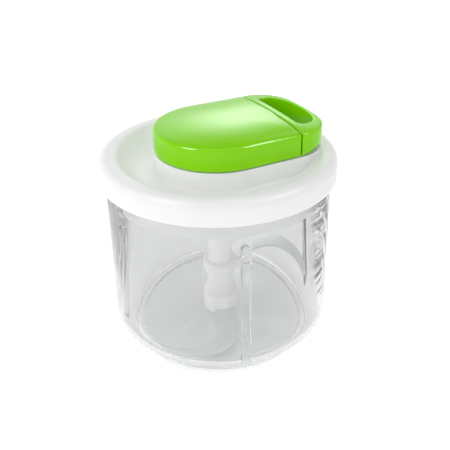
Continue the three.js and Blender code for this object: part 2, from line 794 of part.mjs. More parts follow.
// The cord runs off the winding on a tangent, bends before the eyelet and ends at the knot.
function pullCordSolid() {
  const bendX = seamX - housingWall - cordBendLead;
  const layerR = windingRadius - cordRadius;
  const tangentTurn = -Math.acos(layerR / bendX);
  const [tangentX, tangentY] = polar(layerR, tangentTurn);
  const clearR = windingRadius + cordRadius + seatGap;
  const lead = Math.sqrt(clearR ** 2 - layerR ** 2) / Math.sqrt(bendX ** 2 - layerR ** 2);
  const tangent = new THREE.Vector3(tangentX, tangentY, cordZ);
  const bend = new THREE.Vector3(bendX, 0, cordZ);
  const start = tangent.clone().lerp(bend, lead);
  const end = new THREE.Vector3(knotX() - knotRadius - seatGap, 0, cordZ);
  const path = new THREE.CatmullRomCurve3([start, start.clone().lerp(bend, 0.5), bend, end]);
  const corners = evenTurns(cordSides).map((turn) => turn + Math.PI / cordSides);
  const section = new THREE.Shape(corners.map((turn) => new THREE.Vector2(...polar(cordRadius, turn))));
  const options = { extrudePath: path, steps: cordPathSteps, bevelEnabled: false };
  return toSolid(new THREE.ExtrudeGeometry(section, options));
}

function knotX() {
  return holeX - knotSeatDepth + seatGap + knotRadius;
}

function cordKnotSolid() {
  return toSolid(new THREE.SphereGeometry(knotRadius, smallSegments, smallSegments / 2)
    .rotateZ(Math.PI / 2).translate(knotX(), 0, cordZ));
}

// The finger hole's outline: a straight edge by the bar and half an oval towards the nose.
function fingerHoleShape(grow) {
  const corner = holeCorner + grow;
  const half = holeHalfWidth + grow;
  const middleX = holeX + holeCorner;
  const shape = new THREE.Shape();
  shape.moveTo(middleX - corner, half - corner);
  shape.absarc(middleX, corner - half, corner, Math.PI, 1.5 * Math.PI);
  shape.absellipse(middleX, 0, holeDepth - holeCorner + grow, half, -0.5 * Math.PI, 0.5 * Math.PI);
  shape.absarc(middleX, half - corner, corner, 0.5 * Math.PI, Math.PI);
  return shape;
}

function handleSolid() {
  const block = domedBlock(0, housingFootZ).intersect(sideOf(handleX, true));
  const below = housingFootZ - 2 * cutOver;
  const above = housingTopZ + domeRise + cutOver;
  const hole = extruded(fingerHoleShape(0), below, above);
  const coreTopZ = housingTopZ - edgeRound - housingWall;
  const keep = join(
    extruded(fingerHoleShape(housingWall), below, above),
    box([handleX - cutOver, holeX], [-corePadWidth / 2, corePadWidth / 2], [below, above]),
  );
  const coreBlock = outlineBlock(housingWall, housingFootZ - cutOver, coreTopZ);
  const core = cut(coreBlock.intersect(sideOf(handleX + housingWall, true)), keep);
  const cordWay = turnedOnCord([
    [0, handleX - cutOver], [eyeletBore, handleX - cutOver],
    [eyeletBore, holeX - knotSeatDepth], [knotRadius + runGap, holeX - knotSeatDepth],
    [knotRadius + runGap, holeX + cutOver], [0, holeX + cutOver],
  ], smallSegments);
  return cut(block, hole, core, cordWay);
}

const clearPlastic = { color: 0xeef2f2, roughness: 0.05, metalness: 0, transparent: true, opacity: 0.3 };
const whitePlastic = { color: 0xf4f4f4, roughness: 0.22, metalness: 0 };
const greenPlastic = { color: 0x84d612, roughness: 0.2, metalness: 0 };
const greyPlastic = { color: 0xb9bdbf, roughness: 0.45, metalness: 0 };
const silicone = { color: 0xe2e4e2, roughness: 0.6, metalness: 0 };
const steel = { color: 0xc8cacc, roughness: 0.25, metalness: 1 };
const cordFibre = { color: 0xf0efe9, roughness: 0.8, metalness: 0 };

const chopper = new THREE.Group();

function add(parent, name, solid, finish) {
  const mesh = new THREE.Mesh(toGeometry(solid), new THREE.MeshStandardMaterial(finish));
  mesh.name = name;
  parent.add(mesh);
  return mesh;
}

function addBowl() {
  add(chopper, "bowl", bowlSolid(), clearPlastic);
  add(chopper, "pivot_pin", pivotPinSolid(), steel);
}

function addBlades() {
  add(chopper, "blade_column", bladeColumnSolid(), whitePlastic);
  bladePlaces().forEach(({ name, turn, z }) => {
    const blade = add(chopper, name, bladeSolid(), steel);
    blade.position.z = z;
    blade.rotation.z = turn;
  });
}

function addLid() {
  add(chopper, "lid_cover", lidCoverSolid(), whitePlastic);
  add(chopper, "inner_lid", innerLidSolid(), whitePlastic);
  add(chopper, "seal_ring", sealRingSolid(), silicone);
  add(chopper, "drive_bush", driveBushSolid(), greyPlastic);
  linerScrewTurns.forEach((turn, i) => {
    const screw = add(chopper, `inner_lid_screw_${i + 1}`, screwSolid(linerScrewLength), steel);
    screw.position.set(...polar(linerScrewCircle, turn), linerScrewFootZ());
  });
  housingScrewTurns().forEach((turn, i) => {
    const screw = add(chopper, `housing_screw_${i + 1}`, screwSolid(housingScrewLength), steel);
    screw.position.set(...polar(housingScrewCircle, turn), housingScrewFootZ());
  });
}

function addWorks() {
  add(chopper, "housing", housingSolid(), greenPlastic);
  add(chopper, "axle", axleSolid(), steel);
  add(chopper, "spring_arbor", springArborSolid(), greyPlastic);
  add(chopper, "mainspring", mainspringSolid(), steel);
  add(chopper, "spool", spoolSolid(), greyPlastic);
  add(chopper, "spring_plate", springPlateSolid(), greyPlastic);
  add(chopper, "cord_winding", cordWindingSolid(), cordFibre);
  add(chopper, "drive_coupler", driveCouplerSolid(), greyPlastic);
  evenTurns(pawlCount).forEach((turn, i) => {
    const side = new THREE.Group();
    side.rotation.z = turn;
    const pawl = add(side, `pawl_${i + 1}`, pawlSolid(), greyPlastic);
    const pin = add(side, `pawl_pin_${i + 1}`, pawlPinSolid(), steel);
    [pawl, pin].forEach((mesh) => mesh.position.set(...polar(pawlPivotRadius, pawlPivotTurn), 0));
    chopper.add(side);
  });
}

function addHandle() {
  add(chopper, "handle", handleSolid(), greenPlastic);
  add(chopper, "cord_eyelet", cordEyeletSolid(), steel);
  add(chopper, "pull_cord", pullCordSolid(), cordFibre);
  add(chopper, "cord_knot", cordKnotSolid(), cordFibre);
}

addBowl();
addBlades();
addLid();
addWorks();
addHandle();

export default chopper;
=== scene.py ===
"""A hand-pulled food chopper, dressed: clear bowl, blade column, white lid and green pull mechanism.

Sizes are in millimetres where a class says so, and are turned into metres as the meshes are placed. The pull
direction is +X and the blade column's axis is Z.
"""
import bisect
import functools
import logging
import math
from collections.abc import Callable, Sequence
from dataclasses import dataclass
from enum import Enum

import bmesh
import bpy
from mathutils import Matrix, Quaternion, Vector


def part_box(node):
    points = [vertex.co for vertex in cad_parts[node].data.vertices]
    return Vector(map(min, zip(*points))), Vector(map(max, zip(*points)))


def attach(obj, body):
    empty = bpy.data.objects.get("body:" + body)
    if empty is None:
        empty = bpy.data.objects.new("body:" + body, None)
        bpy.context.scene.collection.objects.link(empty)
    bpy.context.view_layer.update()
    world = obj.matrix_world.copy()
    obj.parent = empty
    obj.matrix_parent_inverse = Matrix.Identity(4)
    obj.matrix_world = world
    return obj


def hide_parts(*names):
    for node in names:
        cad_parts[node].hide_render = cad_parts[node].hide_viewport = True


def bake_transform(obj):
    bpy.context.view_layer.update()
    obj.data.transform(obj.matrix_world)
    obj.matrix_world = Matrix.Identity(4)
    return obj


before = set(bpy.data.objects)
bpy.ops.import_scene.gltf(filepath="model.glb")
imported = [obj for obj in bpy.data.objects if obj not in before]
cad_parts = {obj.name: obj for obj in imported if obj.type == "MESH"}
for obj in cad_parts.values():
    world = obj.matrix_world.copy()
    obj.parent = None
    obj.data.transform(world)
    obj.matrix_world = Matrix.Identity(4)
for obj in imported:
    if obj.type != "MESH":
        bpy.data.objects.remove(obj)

LOG = logging.getLogger("chopper")
MM = 0.001
FULL_TURN = 2 * math.pi
CORD_SIDES = 14
NEAR = MM / 10
SAME = 1e-7

Profile = list[tuple[float, float]]
Corners = Sequence[tuple[float, ...]]
Ring = list[Vector]
Colour = tuple[float, float, float]
Socket = bpy.types.NodeSocket


class Body(Enum):
    """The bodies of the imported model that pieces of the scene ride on."""

    BOWL = "bowl"
    BLADES = "blades"
    LID = "lid"
    HANDLE = "handle"
    SPOOL = "spool"


class Slot(Enum):
    """The record's material slots."""

    CLEAR = "clear_plastic"
    WHITE = "white_plastic"
    GREEN = "green_plastic"
    COLUMN = "column_plastic"
    GREY = "grey_plastic"
    BLADE = "blade_steel"
    STEEL = "steel"
    SILICONE = "silicone"
    CORD = "cord"


def deselect() -> None:
    """Leaves nothing selected, in object mode."""
    if bpy.context.object and bpy.context.object.mode != "OBJECT":
        bpy.ops.object.mode_set(mode="OBJECT")
    bpy.ops.object.select_all(action="DESELECT")


def take(piece: bpy.types.Object) -> None:
    """Makes one object the selected and active one.

    Args:
        piece: The object to work on.
    """
    deselect()
    piece.select_set(True)
    bpy.context.view_layer.objects.active = piece


def edit(piece: bpy.types.Object) -> bmesh.types.BMesh:
    """Opens an object in edit mode.

    Args:
        piece: The object to work on.

    Returns:
        Its edit mesh.
    """
    take(piece)
    bpy.ops.object.mode_set(mode="EDIT")
    return bmesh.from_edit_mesh(piece.data)


def close_edit(piece: bpy.types.Object) -> None:
    """Merges doubles, turns the faces outwards and leaves edit mode.

    Args:
        piece: The object in edit mode.
    """
    bpy.ops.mesh.select_all(action="SELECT")
    bpy.ops.mesh.remove_doubles(threshold=SAME)
    bpy.ops.mesh.normals_make_consistent(inside=False)
    bpy.ops.object.mode_set(mode="OBJECT")
    settle(piece)


def settle(piece: bpy.types.Object) -> None:
    """Puts an object's place, turn and size into its mesh."""
    take(piece)
    bpy.ops.object.transform_apply(location=True, rotation=True, scale=True)


def bevel_where(
    piece: bpy.types.Object, wanted: Callable[[bmesh.types.BMEdge], bool], width: float, segments: int
) -> None:
    """Bevels the edges of an object in edit mode that a test picks.

    Args:
        piece: The object in edit mode.
        wanted: Says for each edge whether it is bevelled.
        width: The bevel's width in millimetres.
        segments: The bevel's number of segments.
    """
    bpy.ops.mesh.select_all(action="DESELECT")
    for edge in bmesh.from_edit_mesh(piece.data).edges:
        edge.select = wanted(edge)
    bpy.ops.mesh.bevel(offset=width * MM, segments=segments, affect="EDGES", clamp_overlap=False)


def smooth(piece: bpy.types.Object, angle: float = 32) -> bpy.types.Object:
    """Shades a piece smooth up to an angle between faces.

    Args:
        piece: The piece to shade.
        angle: The largest smooth angle in degrees.

    Returns:
        The same piece.
    """
    take(piece)
    bpy.ops.object.shade_smooth_by_angle(angle=math.radians(angle))
    return piece


def combine(piece: bpy.types.Object, tool: bpy.types.Object, how: str) -> bpy.types.Object:
    """Joins or cuts a piece with another object, which is used up.

    Args:
        piece: The piece to change.
        tool: The object that is joined on, cut away or shared.
        how: UNION, DIFFERENCE or INTERSECT.

    Returns:
        The changed piece.
    """
    take(piece)
    step = piece.modifiers.new("combine", "BOOLEAN")
    step.operation, step.object, step.solver = how, tool, "EXACT"
    bpy.ops.object.modifier_apply(modifier=step.name)
    bpy.data.objects.remove(tool)
    return piece


def fitted(piece: bpy.types.Object, body: Body, slot: Slot, *nodes: str) -> bpy.types.Object:
    """Gives a finished piece its body, its slot, its finish and the nodes that it stands for.

    Args:
        piece: The finished piece.
        body: The body that it rides on.
        slot: The record's slot that it takes its finish from.
        nodes: The CAD nodes that it replaces.

    Returns:
        The same piece.
    """
    dressed(piece, slot, *nodes)
    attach(piece, body.value)
    LOG.info("%s rides on %s", piece.name, body.value)
    return piece


def dressed(piece: bpy.types.Object, slot: Slot, *nodes: str) -> bpy.types.Object:
    """Gives a finished piece its slot, its finish and the nodes that it stands for.

    Args:
        piece: The finished piece.
        slot: The record's slot that it takes its finish from.
        nodes: The CAD nodes that it replaces.

    Returns:
        The same piece.
    """
    piece.data.materials.clear()
    piece.data.materials.append(FINISHES[slot].material())
    if nodes:
        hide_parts(*nodes)
    LOG.info("%s: %d faces in %s", piece.name, len(piece.data.polygons), slot.value)
    return piece


def rounded(corners: Corners, steps: int = 5, closed: bool = True) -> Profile:
    """A profile whose corners are rounded.

    Args:
        corners: Points as (radius, height) or (radius, height, rounding), in millimetres.
        steps: The number of steps in each rounded corner.
        closed: Whether the profile's last point joins its first.

    Returns:
        The points of the rounded profile.
    """
    points: Profile = []
    count = len(corners)
    for i, corner in enumerate(corners):
        here = Vector(corner[:2])
        ends = not closed and i in (0, count - 1)
        if len(corner) < 3 or ends:
            points.append(tuple(here))
            continue
        before = (Vector(corners[i - 1][:2]) - here).normalized()
        after = (Vector(corners[(i + 1) % count][:2]) - here).normalized()
        half = before.angle(after) / 2
        centre = here + (before + after).normalized() * corner[2] / math.sin(half)
        start = here + before * corner[2] / math.tan(half) - centre
        end = here + after * corner[2] / math.tan(half) - centre
        for step in range(steps + 1):
            share = step / steps
            points.append(tuple(centre + start.slerp(end, share).normalized() * corner[2]))
    return points


def arc(centre: tuple[float, float], radius: float, start: float, end: float, steps: int) -> Profile:
    """Points of an arc in a profile.

    Args:
        centre: The arc's centre as (radius, height).
        radius: The arc's own radius.
        start: The first angle in degrees.
        end: The last angle in degrees.
        steps: The number of steps.

    Returns:
        The points, both ends included.
    """
    turns = [math.radians(start + (end - start) * i / steps) for i in range(steps + 1)]
    return [(centre[0] + radius * math.cos(t), centre[1] + radius * math.sin(t)) for t in turns]


def spun(name: str, profile: Profile, steps: int = 128, closed: bool = True) -> bpy.types.Object:
    """Draws a profile vertex by vertex in edit mode and spins it about Z.

    Args:
        name: The new object's name.
        profile: Points as (radius, height) in millimetres.
        steps: The number of steps in the full turn.
        closed: Whether the profile's last point joins its first.

    Returns:
        The new object.
    """
    deselect()
    bpy.ops.mesh.primitive_plane_add(size=MM)
    piece = bpy.context.object
    piece.name = name
    bpy.ops.object.mode_set(mode="EDIT")
    bpy.ops.mesh.merge(type="CENTER")
    places = [Vector((radius * MM, 0, height * MM)) for radius, height in profile]
    bpy.ops.transform.translate(value=places[0])
    for last, place in zip(places, places[1:]):
        bpy.ops.mesh.extrude_region_move(TRANSFORM_OT_translate={"value": place - last})
    if closed:
        drawn = bmesh.from_edit_mesh(piece.data)
        bpy.ops.mesh.select_all(action="DESELECT")
        drawn.verts.ensure_lookup_table()
        for end in (drawn.verts[0], drawn.verts[len(drawn.verts) - 1]):
            end.select = True
        drawn.select_flush_mode()
        bpy.ops.mesh.edge_face_add()
    bpy.ops.mesh.select_all(action="SELECT")
    bpy.ops.mesh.spin(steps=steps, angle=FULL_TURN, center=(0, 0, 0), axis=(0, 0, 1))
    close_edit(piece)
    return piece


def lofted(name: str, rings: Sequence[Ring], closed: bool = False) -> bpy.types.Object:
    """Extrudes a loop of vertices from ring to ring in edit mode, and closes its ends.

    Args:
        name: The new object's name.
        rings: Rings of equally many points in millimetres.
        closed: Whether the last ring joins the first; flat faces close the ends otherwise.

    Returns:
        The new object.
    """
    deselect()
    bpy.ops.mesh.primitive_circle_add(vertices=len(rings[0]), radius=MM)
    piece = bpy.context.object
    piece.name = name
    mesh = edit(piece)
    mesh.verts.layers.int.new("order")
    mesh.verts.layers.int.new("ring")
    for i, vertex in enumerate(mesh.verts):
        vertex[mesh.verts.layers.int["order"]] = i
    for number, ring in enumerate(rings):
        if number:
            bpy.ops.mesh.extrude_edges_move()
            mesh = bmesh.from_edit_mesh(piece.data)
        order, row = (mesh.verts.layers.int[label] for label in ("order", "ring"))
        for vertex in mesh.verts:
            if vertex.select:
                vertex.co = ring[vertex[order]] * MM
                vertex[row] = number
    if not closed:
        bpy.ops.mesh.edge_face_add()
    mesh = bmesh.from_edit_mesh(piece.data)
    mesh.verts.ensure_lookup_table()
    first = set(range(len(rings[0])))
    for vertex in mesh.verts:
        vertex.select = vertex.index in first or (closed and vertex.select)
    mesh.select_flush_mode()
    if closed:
        bpy.ops.mesh.select_mode(type="EDGE")
        mesh = bmesh.from_edit_mesh(piece.data)
        for edge in mesh.edges:
            edge.select = edge.is_boundary
        bpy.ops.mesh.bridge_edge_loops()
        bpy.ops.mesh.select_mode(type="VERT")
    else:
        bpy.ops.mesh.edge_face_add()
    close_edit(piece)
    return piece


def rod(name: str, start: Vector, end: Vector, radius: float, sides: int = 48) -> bpy.types.Object:
    """A round rod between two points, for use as a cutter or a plain pin.

    Args:
        name: The new object's name.
        start: The middle of the first end in millimetres.
        end: The middle of the last end in millimetres.
        radius: The rod's radius in millimetres.
        sides: The number of sides.

    Returns:
        The new object.
    """
    deselect()
    along = end - start
    turn = along.to_track_quat("Z", "Y").to_euler()
    middle = (start + end) / 2 * MM
    bpy.ops.mesh.primitive_cylinder_add(
        vertices=sides, radius=radius * MM, depth=along.length * MM, location=middle, rotation=turn
    )
    piece = bpy.context.object
    piece.name = name
    settle(piece)
    return piece


def tube(
    name: str, path: Ring, guides: Ring, size: tuple[float, float], lengths: Sequence[float],
    closed: bool = False,
) -> bpy.types.Object:
    """A cord along a path, with a UV map along and round it.

    Args:
        name: The new object's name.
        path: The points that its middle follows, in millimetres.
        guides: For each point the direction that its section's first half width points in.
        size: The section's two half widths in millimetres.
        lengths: For each point how far along the cord it lies, in cord widths.
        closed: Whether the path's last point joins its first.

    Returns:
        The new object.
    """
    count, rings = len(path), []
    for i, (point, guide) in enumerate(zip(path, guides)):
        before = path[i - 1] if i or closed else point
        after = path[(i + 1) % count] if closed or i + 1 < count else point
        along = (after - before).normalized()
        first = (guide - along * guide.dot(along)).normalized()
        second = along.cross(first)
        turns = [FULL_TURN * j / CORD_SIDES for j in range(CORD_SIDES)]
        rings.append([
            point + first * math.cos(t) * size[0] + second * math.sin(t) * size[1] for t in turns
        ])
    piece = lofted(name, rings, closed)
    mesh = piece.data
    layer = mesh.uv_layers.new(name="UVMap")
    order, row = (mesh.attributes[label].data for label in ("order", "ring"))
    step = lengths[-1] - lengths[-2]
    for face in mesh.polygons:
        corners = [mesh.loops[i].vertex_index for i in face.loop_indices]
        turns, rows = [order[c].value for c in corners], [row[c].value for c in corners]
        for i, turn, number in zip(face.loop_indices, turns, rows):
            round_it = turn + CORD_SIDES if max(turns) - turn > CORD_SIDES / 2 else turn
            far = lengths[-1] + step if max(rows) - number > count / 2 else lengths[number]
            layer.data[i].uv = (far, round_it / CORD_SIDES)
    return piece


def joined(name: str, *pieces: bpy.types.Object) -> bpy.types.Object:
    """Makes several objects one.

    Args:
        name: The name of the whole.
        pieces: The objects, of which the first takes up the others.

    Returns:
        The whole.
    """
    deselect()
    for piece in pieces:
        piece.select_set(True)
    bpy.context.view_layer.objects.active = pieces[0]
    bpy.ops.object.join()
    pieces[0].name = name
    return pieces[0]


def copied(piece: bpy.types.Object, name: str, shift: Vector) -> bpy.types.Object:
    """A copy of a piece with its own mesh, moved.

    Args:
        piece: The piece to copy.
        name: The copy's name.
        shift: How far it is moved, in millimetres.

    Returns:
        The copy.
    """
    take(piece)
    bpy.ops.object.duplicate(linked=False)
    copy = bpy.context.object
    copy.name = name
    copy.location = shift * MM
    settle(copy)
    return copy


def eased(share: float) -> float:
    """A share held between 0 and 1 that starts and ends gently."""
    held = min(1.0, max(0.0, share))
    return held * held * (3 - 2 * held)


def spread(reach: float, steps: int) -> list[float]:
    """Distances from 0 to a reach that lie closer together at both ends."""
    return [reach * (1 - math.cos(i / steps * math.pi)) / 2 for i in range(steps + 1)]


def direction(azimuth: float, elevation: float) -> Vector:
    """The unit vector towards a place round the object.

    Args:
        azimuth: Degrees from -Y towards +X.
        elevation: Degrees above the floor.

    Returns:
        The unit vector.
    """
    turn, rise = math.radians(azimuth), math.radians(elevation)
    return Vector((math.sin(turn) * math.cos(rise), -math.cos(turn) * math.cos(rise), math.sin(rise)))


def socket_group(name: str, inputs: dict[str, float], outputs: Sequence[str]) -> bpy.types.NodeTree:
    """An empty shader group with number inputs and outputs.

    Args:
        name: The group's name.
        inputs: Input names with their defaults.
        outputs: Output names.

    Returns:
        The new node group.
    """
    group = bpy.data.node_groups.new(name, "ShaderNodeTree")
    for label, value in inputs.items():
        socket = group.interface.new_socket(name=label, in_out="INPUT", socket_type="NodeSocketFloat")
        socket.default_value = value
    for label in outputs:
        group.interface.new_socket(name=label, in_out="OUTPUT", socket_type="NodeSocketFloat")
    return group


class Graph:
    """Adds and joins nodes in one node tree."""

    def __init__(self, tree: bpy.types.NodeTree) -> None:
        """Keeps the tree that nodes are added to."""
        self.tree = tree

    def add(self, kind: str, **values: object) -> bpy.types.Node:
        """Adds a node and sets its sockets or links them.

        Args:
            kind: The node's type name without the ShaderNode prefix.
            values: Socket values or output sockets by socket name, with spaces as underscores.
                Names of the node's own settings are set as settings.

        Returns:
            The new node.
        """
        made = self.tree.nodes.new(kind if kind.startswith("Node") else "ShaderNode" + kind)
        for key, value in values.items():
            label = key.replace("_", " ")
            if label.title() not in made.inputs and hasattr(made, key):
                setattr(made, key, value)
                continue
            place = made.inputs[int(key[1:])] if key[1:].isdigit() else made.inputs[label.title()]
            if isinstance(value, bpy.types.NodeSocket):
                self.tree.links.new(value, place)
            else:
                place.default_value = value
        return made

    def math(self, operation: str, *terms: object) -> Socket:
        """Adds a math node.

        Args:
            operation: The math node's operation.
            terms: Its inputs, as numbers or sockets.

        Returns:
            The node's output.
        """
        keys = {f"_{i}": term for i, term in enumerate(terms)}
        return self.add("Math", operation=operation, **keys).outputs[0]

    def fill(self, node: bpy.types.Node, **values: object) -> None:
        """Sets or links the inputs of a node that is there.

        Args:
            node: The node.
            values: Input values or output sockets by input name, with spaces as underscores.
        """
        for key, value in values.items():
            place = node.inputs[key.replace("_", " ")]
            if isinstance(value, Socket):
                self.tree.links.new(value, place)
            else:
                place.default_value = value

    def group(self, tree: bpy.types.NodeTree, **values: object) -> Sequence[Socket]:
        """Places a node group.

        Args:
            tree: The group.
            values: Input values or sockets by name, with spaces as underscores.

        Returns:
            The group's outputs.
        """
        made = self.tree.nodes.new("ShaderNodeGroup")
        made.node_tree = tree
        self.fill(made, **values)
        return made.outputs

    def ramp(self, factor: Socket, low: float, high: float, start: float = 0.0, end: float = 1.0) -> Socket:
        """Maps a factor's range to another range, clamped, and returns the socket."""
        return self.add(
            "MapRange", Value=factor, From_Min=low, From_Max=high, To_Min=start, To_Max=end
        ).outputs[0]

    def mix(self, share: Socket, first: Colour, second: Colour) -> Socket:
        """Mixes two colours by a share and returns the socket."""
        return self.add("Mix", data_type="RGBA", _0=share, _6=(*first, 1), _7=(*second, 1)).outputs[2]

    def bump(self, height: Socket, distance: float, strength: float = 1.0) -> Socket:
        """Turns a height into a normal, with its distance in metres, and returns the socket."""
        return self.add("Bump", Height=height, Distance=distance, Strength=strength).outputs[0]

    def noise(self, place: Socket, scale: float, detail: float, rough: float = 0.5) -> Socket:
        """Adds a noise and returns its height."""
        return self.add("TexNoise", Vector=place, Scale=scale, Detail=detail, Roughness=rough).outputs["Fac"]

    def facing(self, way: Socket, azimuth: float, elevation: float) -> Socket:
        """The cosine between a direction and a place round the object, as a socket."""
        aim = tuple(direction(azimuth, elevation))
        return self.add("VectorMath", operation="DOT_PRODUCT", _0=way, _1=aim).outputs["Value"]


class Effects:
    """The shader groups that several finishes share, each built once."""

    @staticmethod
    @functools.cache
    def moulded() -> bpy.types.NodeTree:
        """The surface of moulded plastic: faint mottle, sink ripple, fine grain and hairline scratches."""
        inputs = {"Grain": 1.0, "Ripple": 1.0, "Scratch": 1.0}
        tree = socket_group("moulded_surface", inputs, ("Mottle", "Dull", "Height"))
        graph = Graph(tree)
        given = graph.add("NodeGroupInput").outputs
        place = graph.add("TexCoord").outputs["Object"]
        grain = graph.math("MULTIPLY", graph.noise(place, 2600.0, 2.0), given["Grain"])
        ripple = graph.math("MULTIPLY", graph.noise(place, 22.0, 1.0), given["Ripple"])
        mottle = graph.noise(place, 60.0, 4.0, 0.6)
        scratches = graph.math("MULTIPLY", Effects.hairlines(graph, place), given["Scratch"])
        height = graph.math("SUBTRACT", graph.math("ADD", grain, ripple), scratches)
        dull = graph.math("ADD", scratches, mottle)
        graph.fill(graph.add("NodeGroupOutput"), Mottle=mottle, Dull=dull, Height=height)
        return tree

    @staticmethod
    def hairlines(graph: Graph, place: Socket) -> Socket:
        """Thin scattered scratches.

        Args:
            graph: The graph that the nodes go into.
            place: The coordinates.

        Returns:
            A mask that is 1 on a scratch.
        """
        bent = graph.add("TexNoise", Vector=place, Scale=18.0, Detail=1.0).outputs["Color"]
        warped = graph.add("VectorMath", operation="MULTIPLY_ADD", _0=bent, _1=(0.02, 0.02, 0.02), _2=place)
        cells = graph.add("TexVoronoi", feature="DISTANCE_TO_EDGE", Vector=warped.outputs[0], Scale=70.0)
        line = graph.ramp(cells.outputs["Distance"], 0.0, 0.006, 1.0, 0.0)
        return graph.math("MULTIPLY", line, graph.ramp(graph.noise(place, 40.0, 2.0), 0.56, 0.66))

    @staticmethod
    @functools.cache
    def brushed() -> bpy.types.NodeTree:
        """Grinding lines along one direction of the object's space, with a little stain."""
        tree = socket_group("brushed_surface", {"Fine": 1.0}, ("Streak", "Stain"))
        graph = Graph(tree)
        given = graph.add("NodeGroupInput").outputs
        place = graph.add("TexCoord").outputs["Object"]
        stretched = graph.add("Mapping", Vector=place, Scale=(40.0, 1900.0, 1900.0)).outputs[0]
        streak = graph.math("MULTIPLY", graph.noise(stretched, 1.0, 3.0), given["Fine"])
        graph.fill(graph.add("NodeGroupOutput"), Streak=streak, Stain=graph.noise(place, 90.0, 3.0))
        return tree


def new_material(name: str) -> tuple[bpy.types.Material, Graph, bpy.types.Node]:
    """A node material with its shader.

    Args:
        name: The material's name.

    Returns:
        The material, a graph on its tree and its Principled shader.
    """
    material = bpy.data.materials.new(name)
    material.use_nodes = True
    shader = material.node_tree.nodes["Principled BSDF"]
    return material, Graph(material.node_tree), shader


@dataclass(frozen=True)
class Finish:
    """A surface finish, whose material is built once."""

    name: str

    def material(self) -> bpy.types.Material:
        """Gives the finish's material, which is built the first time."""
        if self.name not in bpy.data.materials:
            _, graph, shader = new_material(self.name)
            self.paint(graph, shader)
        return bpy.data.materials[self.name]

    def paint(self, graph: Graph, shader: bpy.types.Node) -> None:
        """Adds the finish's own nodes.

        Args:
            graph: The material's graph.
            shader: Its Principled shader.
        """
        raise NotImplementedError


@dataclass(frozen=True)
class PlasticFinish(Finish):
    """Moulded opaque plastic."""

    colour: Colour
    shade: Colour
    roughness: float
    roughness_spread: float = 0.05
    specular: float = 0.5
    grain: float = 0.3
    ripple: float = 0.4
    scratch: float = 0.15
    bump_depth: float = 0.00002

    def paint(self, graph: Graph, shader: bpy.types.Node) -> None:
        """Mottles the colour, dulls the scratches and raises the grain.

        Args:
            graph: The material's graph.
            shader: Its Principled shader.
        """
        surface = graph.group(Effects.moulded(), Grain=self.grain, Ripple=self.ripple, Scratch=self.scratch)
        dullest = self.roughness + self.roughness_spread
        graph.fill(
            shader, Base_Color=graph.mix(graph.ramp(surface["Mottle"], 0.35, 0.65), self.shade, self.colour),
            Roughness=graph.ramp(surface["Dull"], 0.3, 0.9, self.roughness, dullest),
            Normal=graph.bump(surface["Height"], self.bump_depth), Specular_IOR_Level=self.specular,
        )


@dataclass(frozen=True)
class ClearFinish(Finish):
    """Clear polished plastic with faint use marks, which lets the light on matt pieces behind it pass."""

    tint: Colour
    roughness: float
    ior: float
    scratch: float = 0.15
    bump_depth: float = 0.00001
    soft_tint: Colour = (0.97, 0.975, 0.975)

    def paint(self, graph: Graph, shader: bpy.types.Node) -> None:
        """Adds the clear body, and plain see-through for shadow and diffuse rays.

        Args:
            graph: The material's graph.
            shader: Its Principled shader.
        """
        surface = graph.group(Effects.moulded(), Grain=0.0, Ripple=0.0, Scratch=self.scratch)
        graph.fill(
            shader, Base_Color=(*self.tint, 1), IOR=self.ior, Transmission_Weight=1.0,
            Roughness=graph.ramp(surface["Dull"], 0.45, 1.2, self.roughness, self.roughness * 4),
            Normal=graph.bump(surface["Height"], self.bump_depth),
        )
        through = graph.add("BsdfTransparent")
        graph.fill(through, Color=(*self.soft_tint, 1))
        ray = graph.add("LightPath").outputs
        soft = graph.math("MAXIMUM", ray["Is Shadow Ray"], ray["Is Diffuse Ray"])
        mixed = graph.add("MixShader", Fac=soft, _1=shader.outputs[0], _2=through.outputs[0])
        graph.fill(graph.tree.nodes["Material Output"], Surface=mixed.outputs[0])


@dataclass(frozen=True)
class SteelFinish(Finish):
    """Ground or drawn steel."""

    colour: Colour
    roughness: float
    roughness_spread: float = 0.14
    stain: float = 0.8
    fine: float = 1.0
    bump_depth: float = 0.00002

    def paint(self, graph: Graph, shader: bpy.types.Node) -> None:
        """Stains the colour and adds the grinding lines.

        Args:
            graph: The material's graph.
            shader: Its Principled shader.
        """
        surface = graph.group(Effects.brushed(), Fine=self.fine)
        dark = tuple(part * self.stain for part in self.colour)
        dullest = self.roughness + self.roughness_spread
        graph.fill(
            shader, Base_Color=graph.mix(graph.ramp(surface["Stain"], 0.35, 0.7), self.colour, dark),
            Roughness=graph.ramp(surface["Streak"], 0.3, 0.7, self.roughness, dullest),
            Normal=graph.bump(surface["Streak"], self.bump_depth, 0.6), Metallic=1.0,
        )


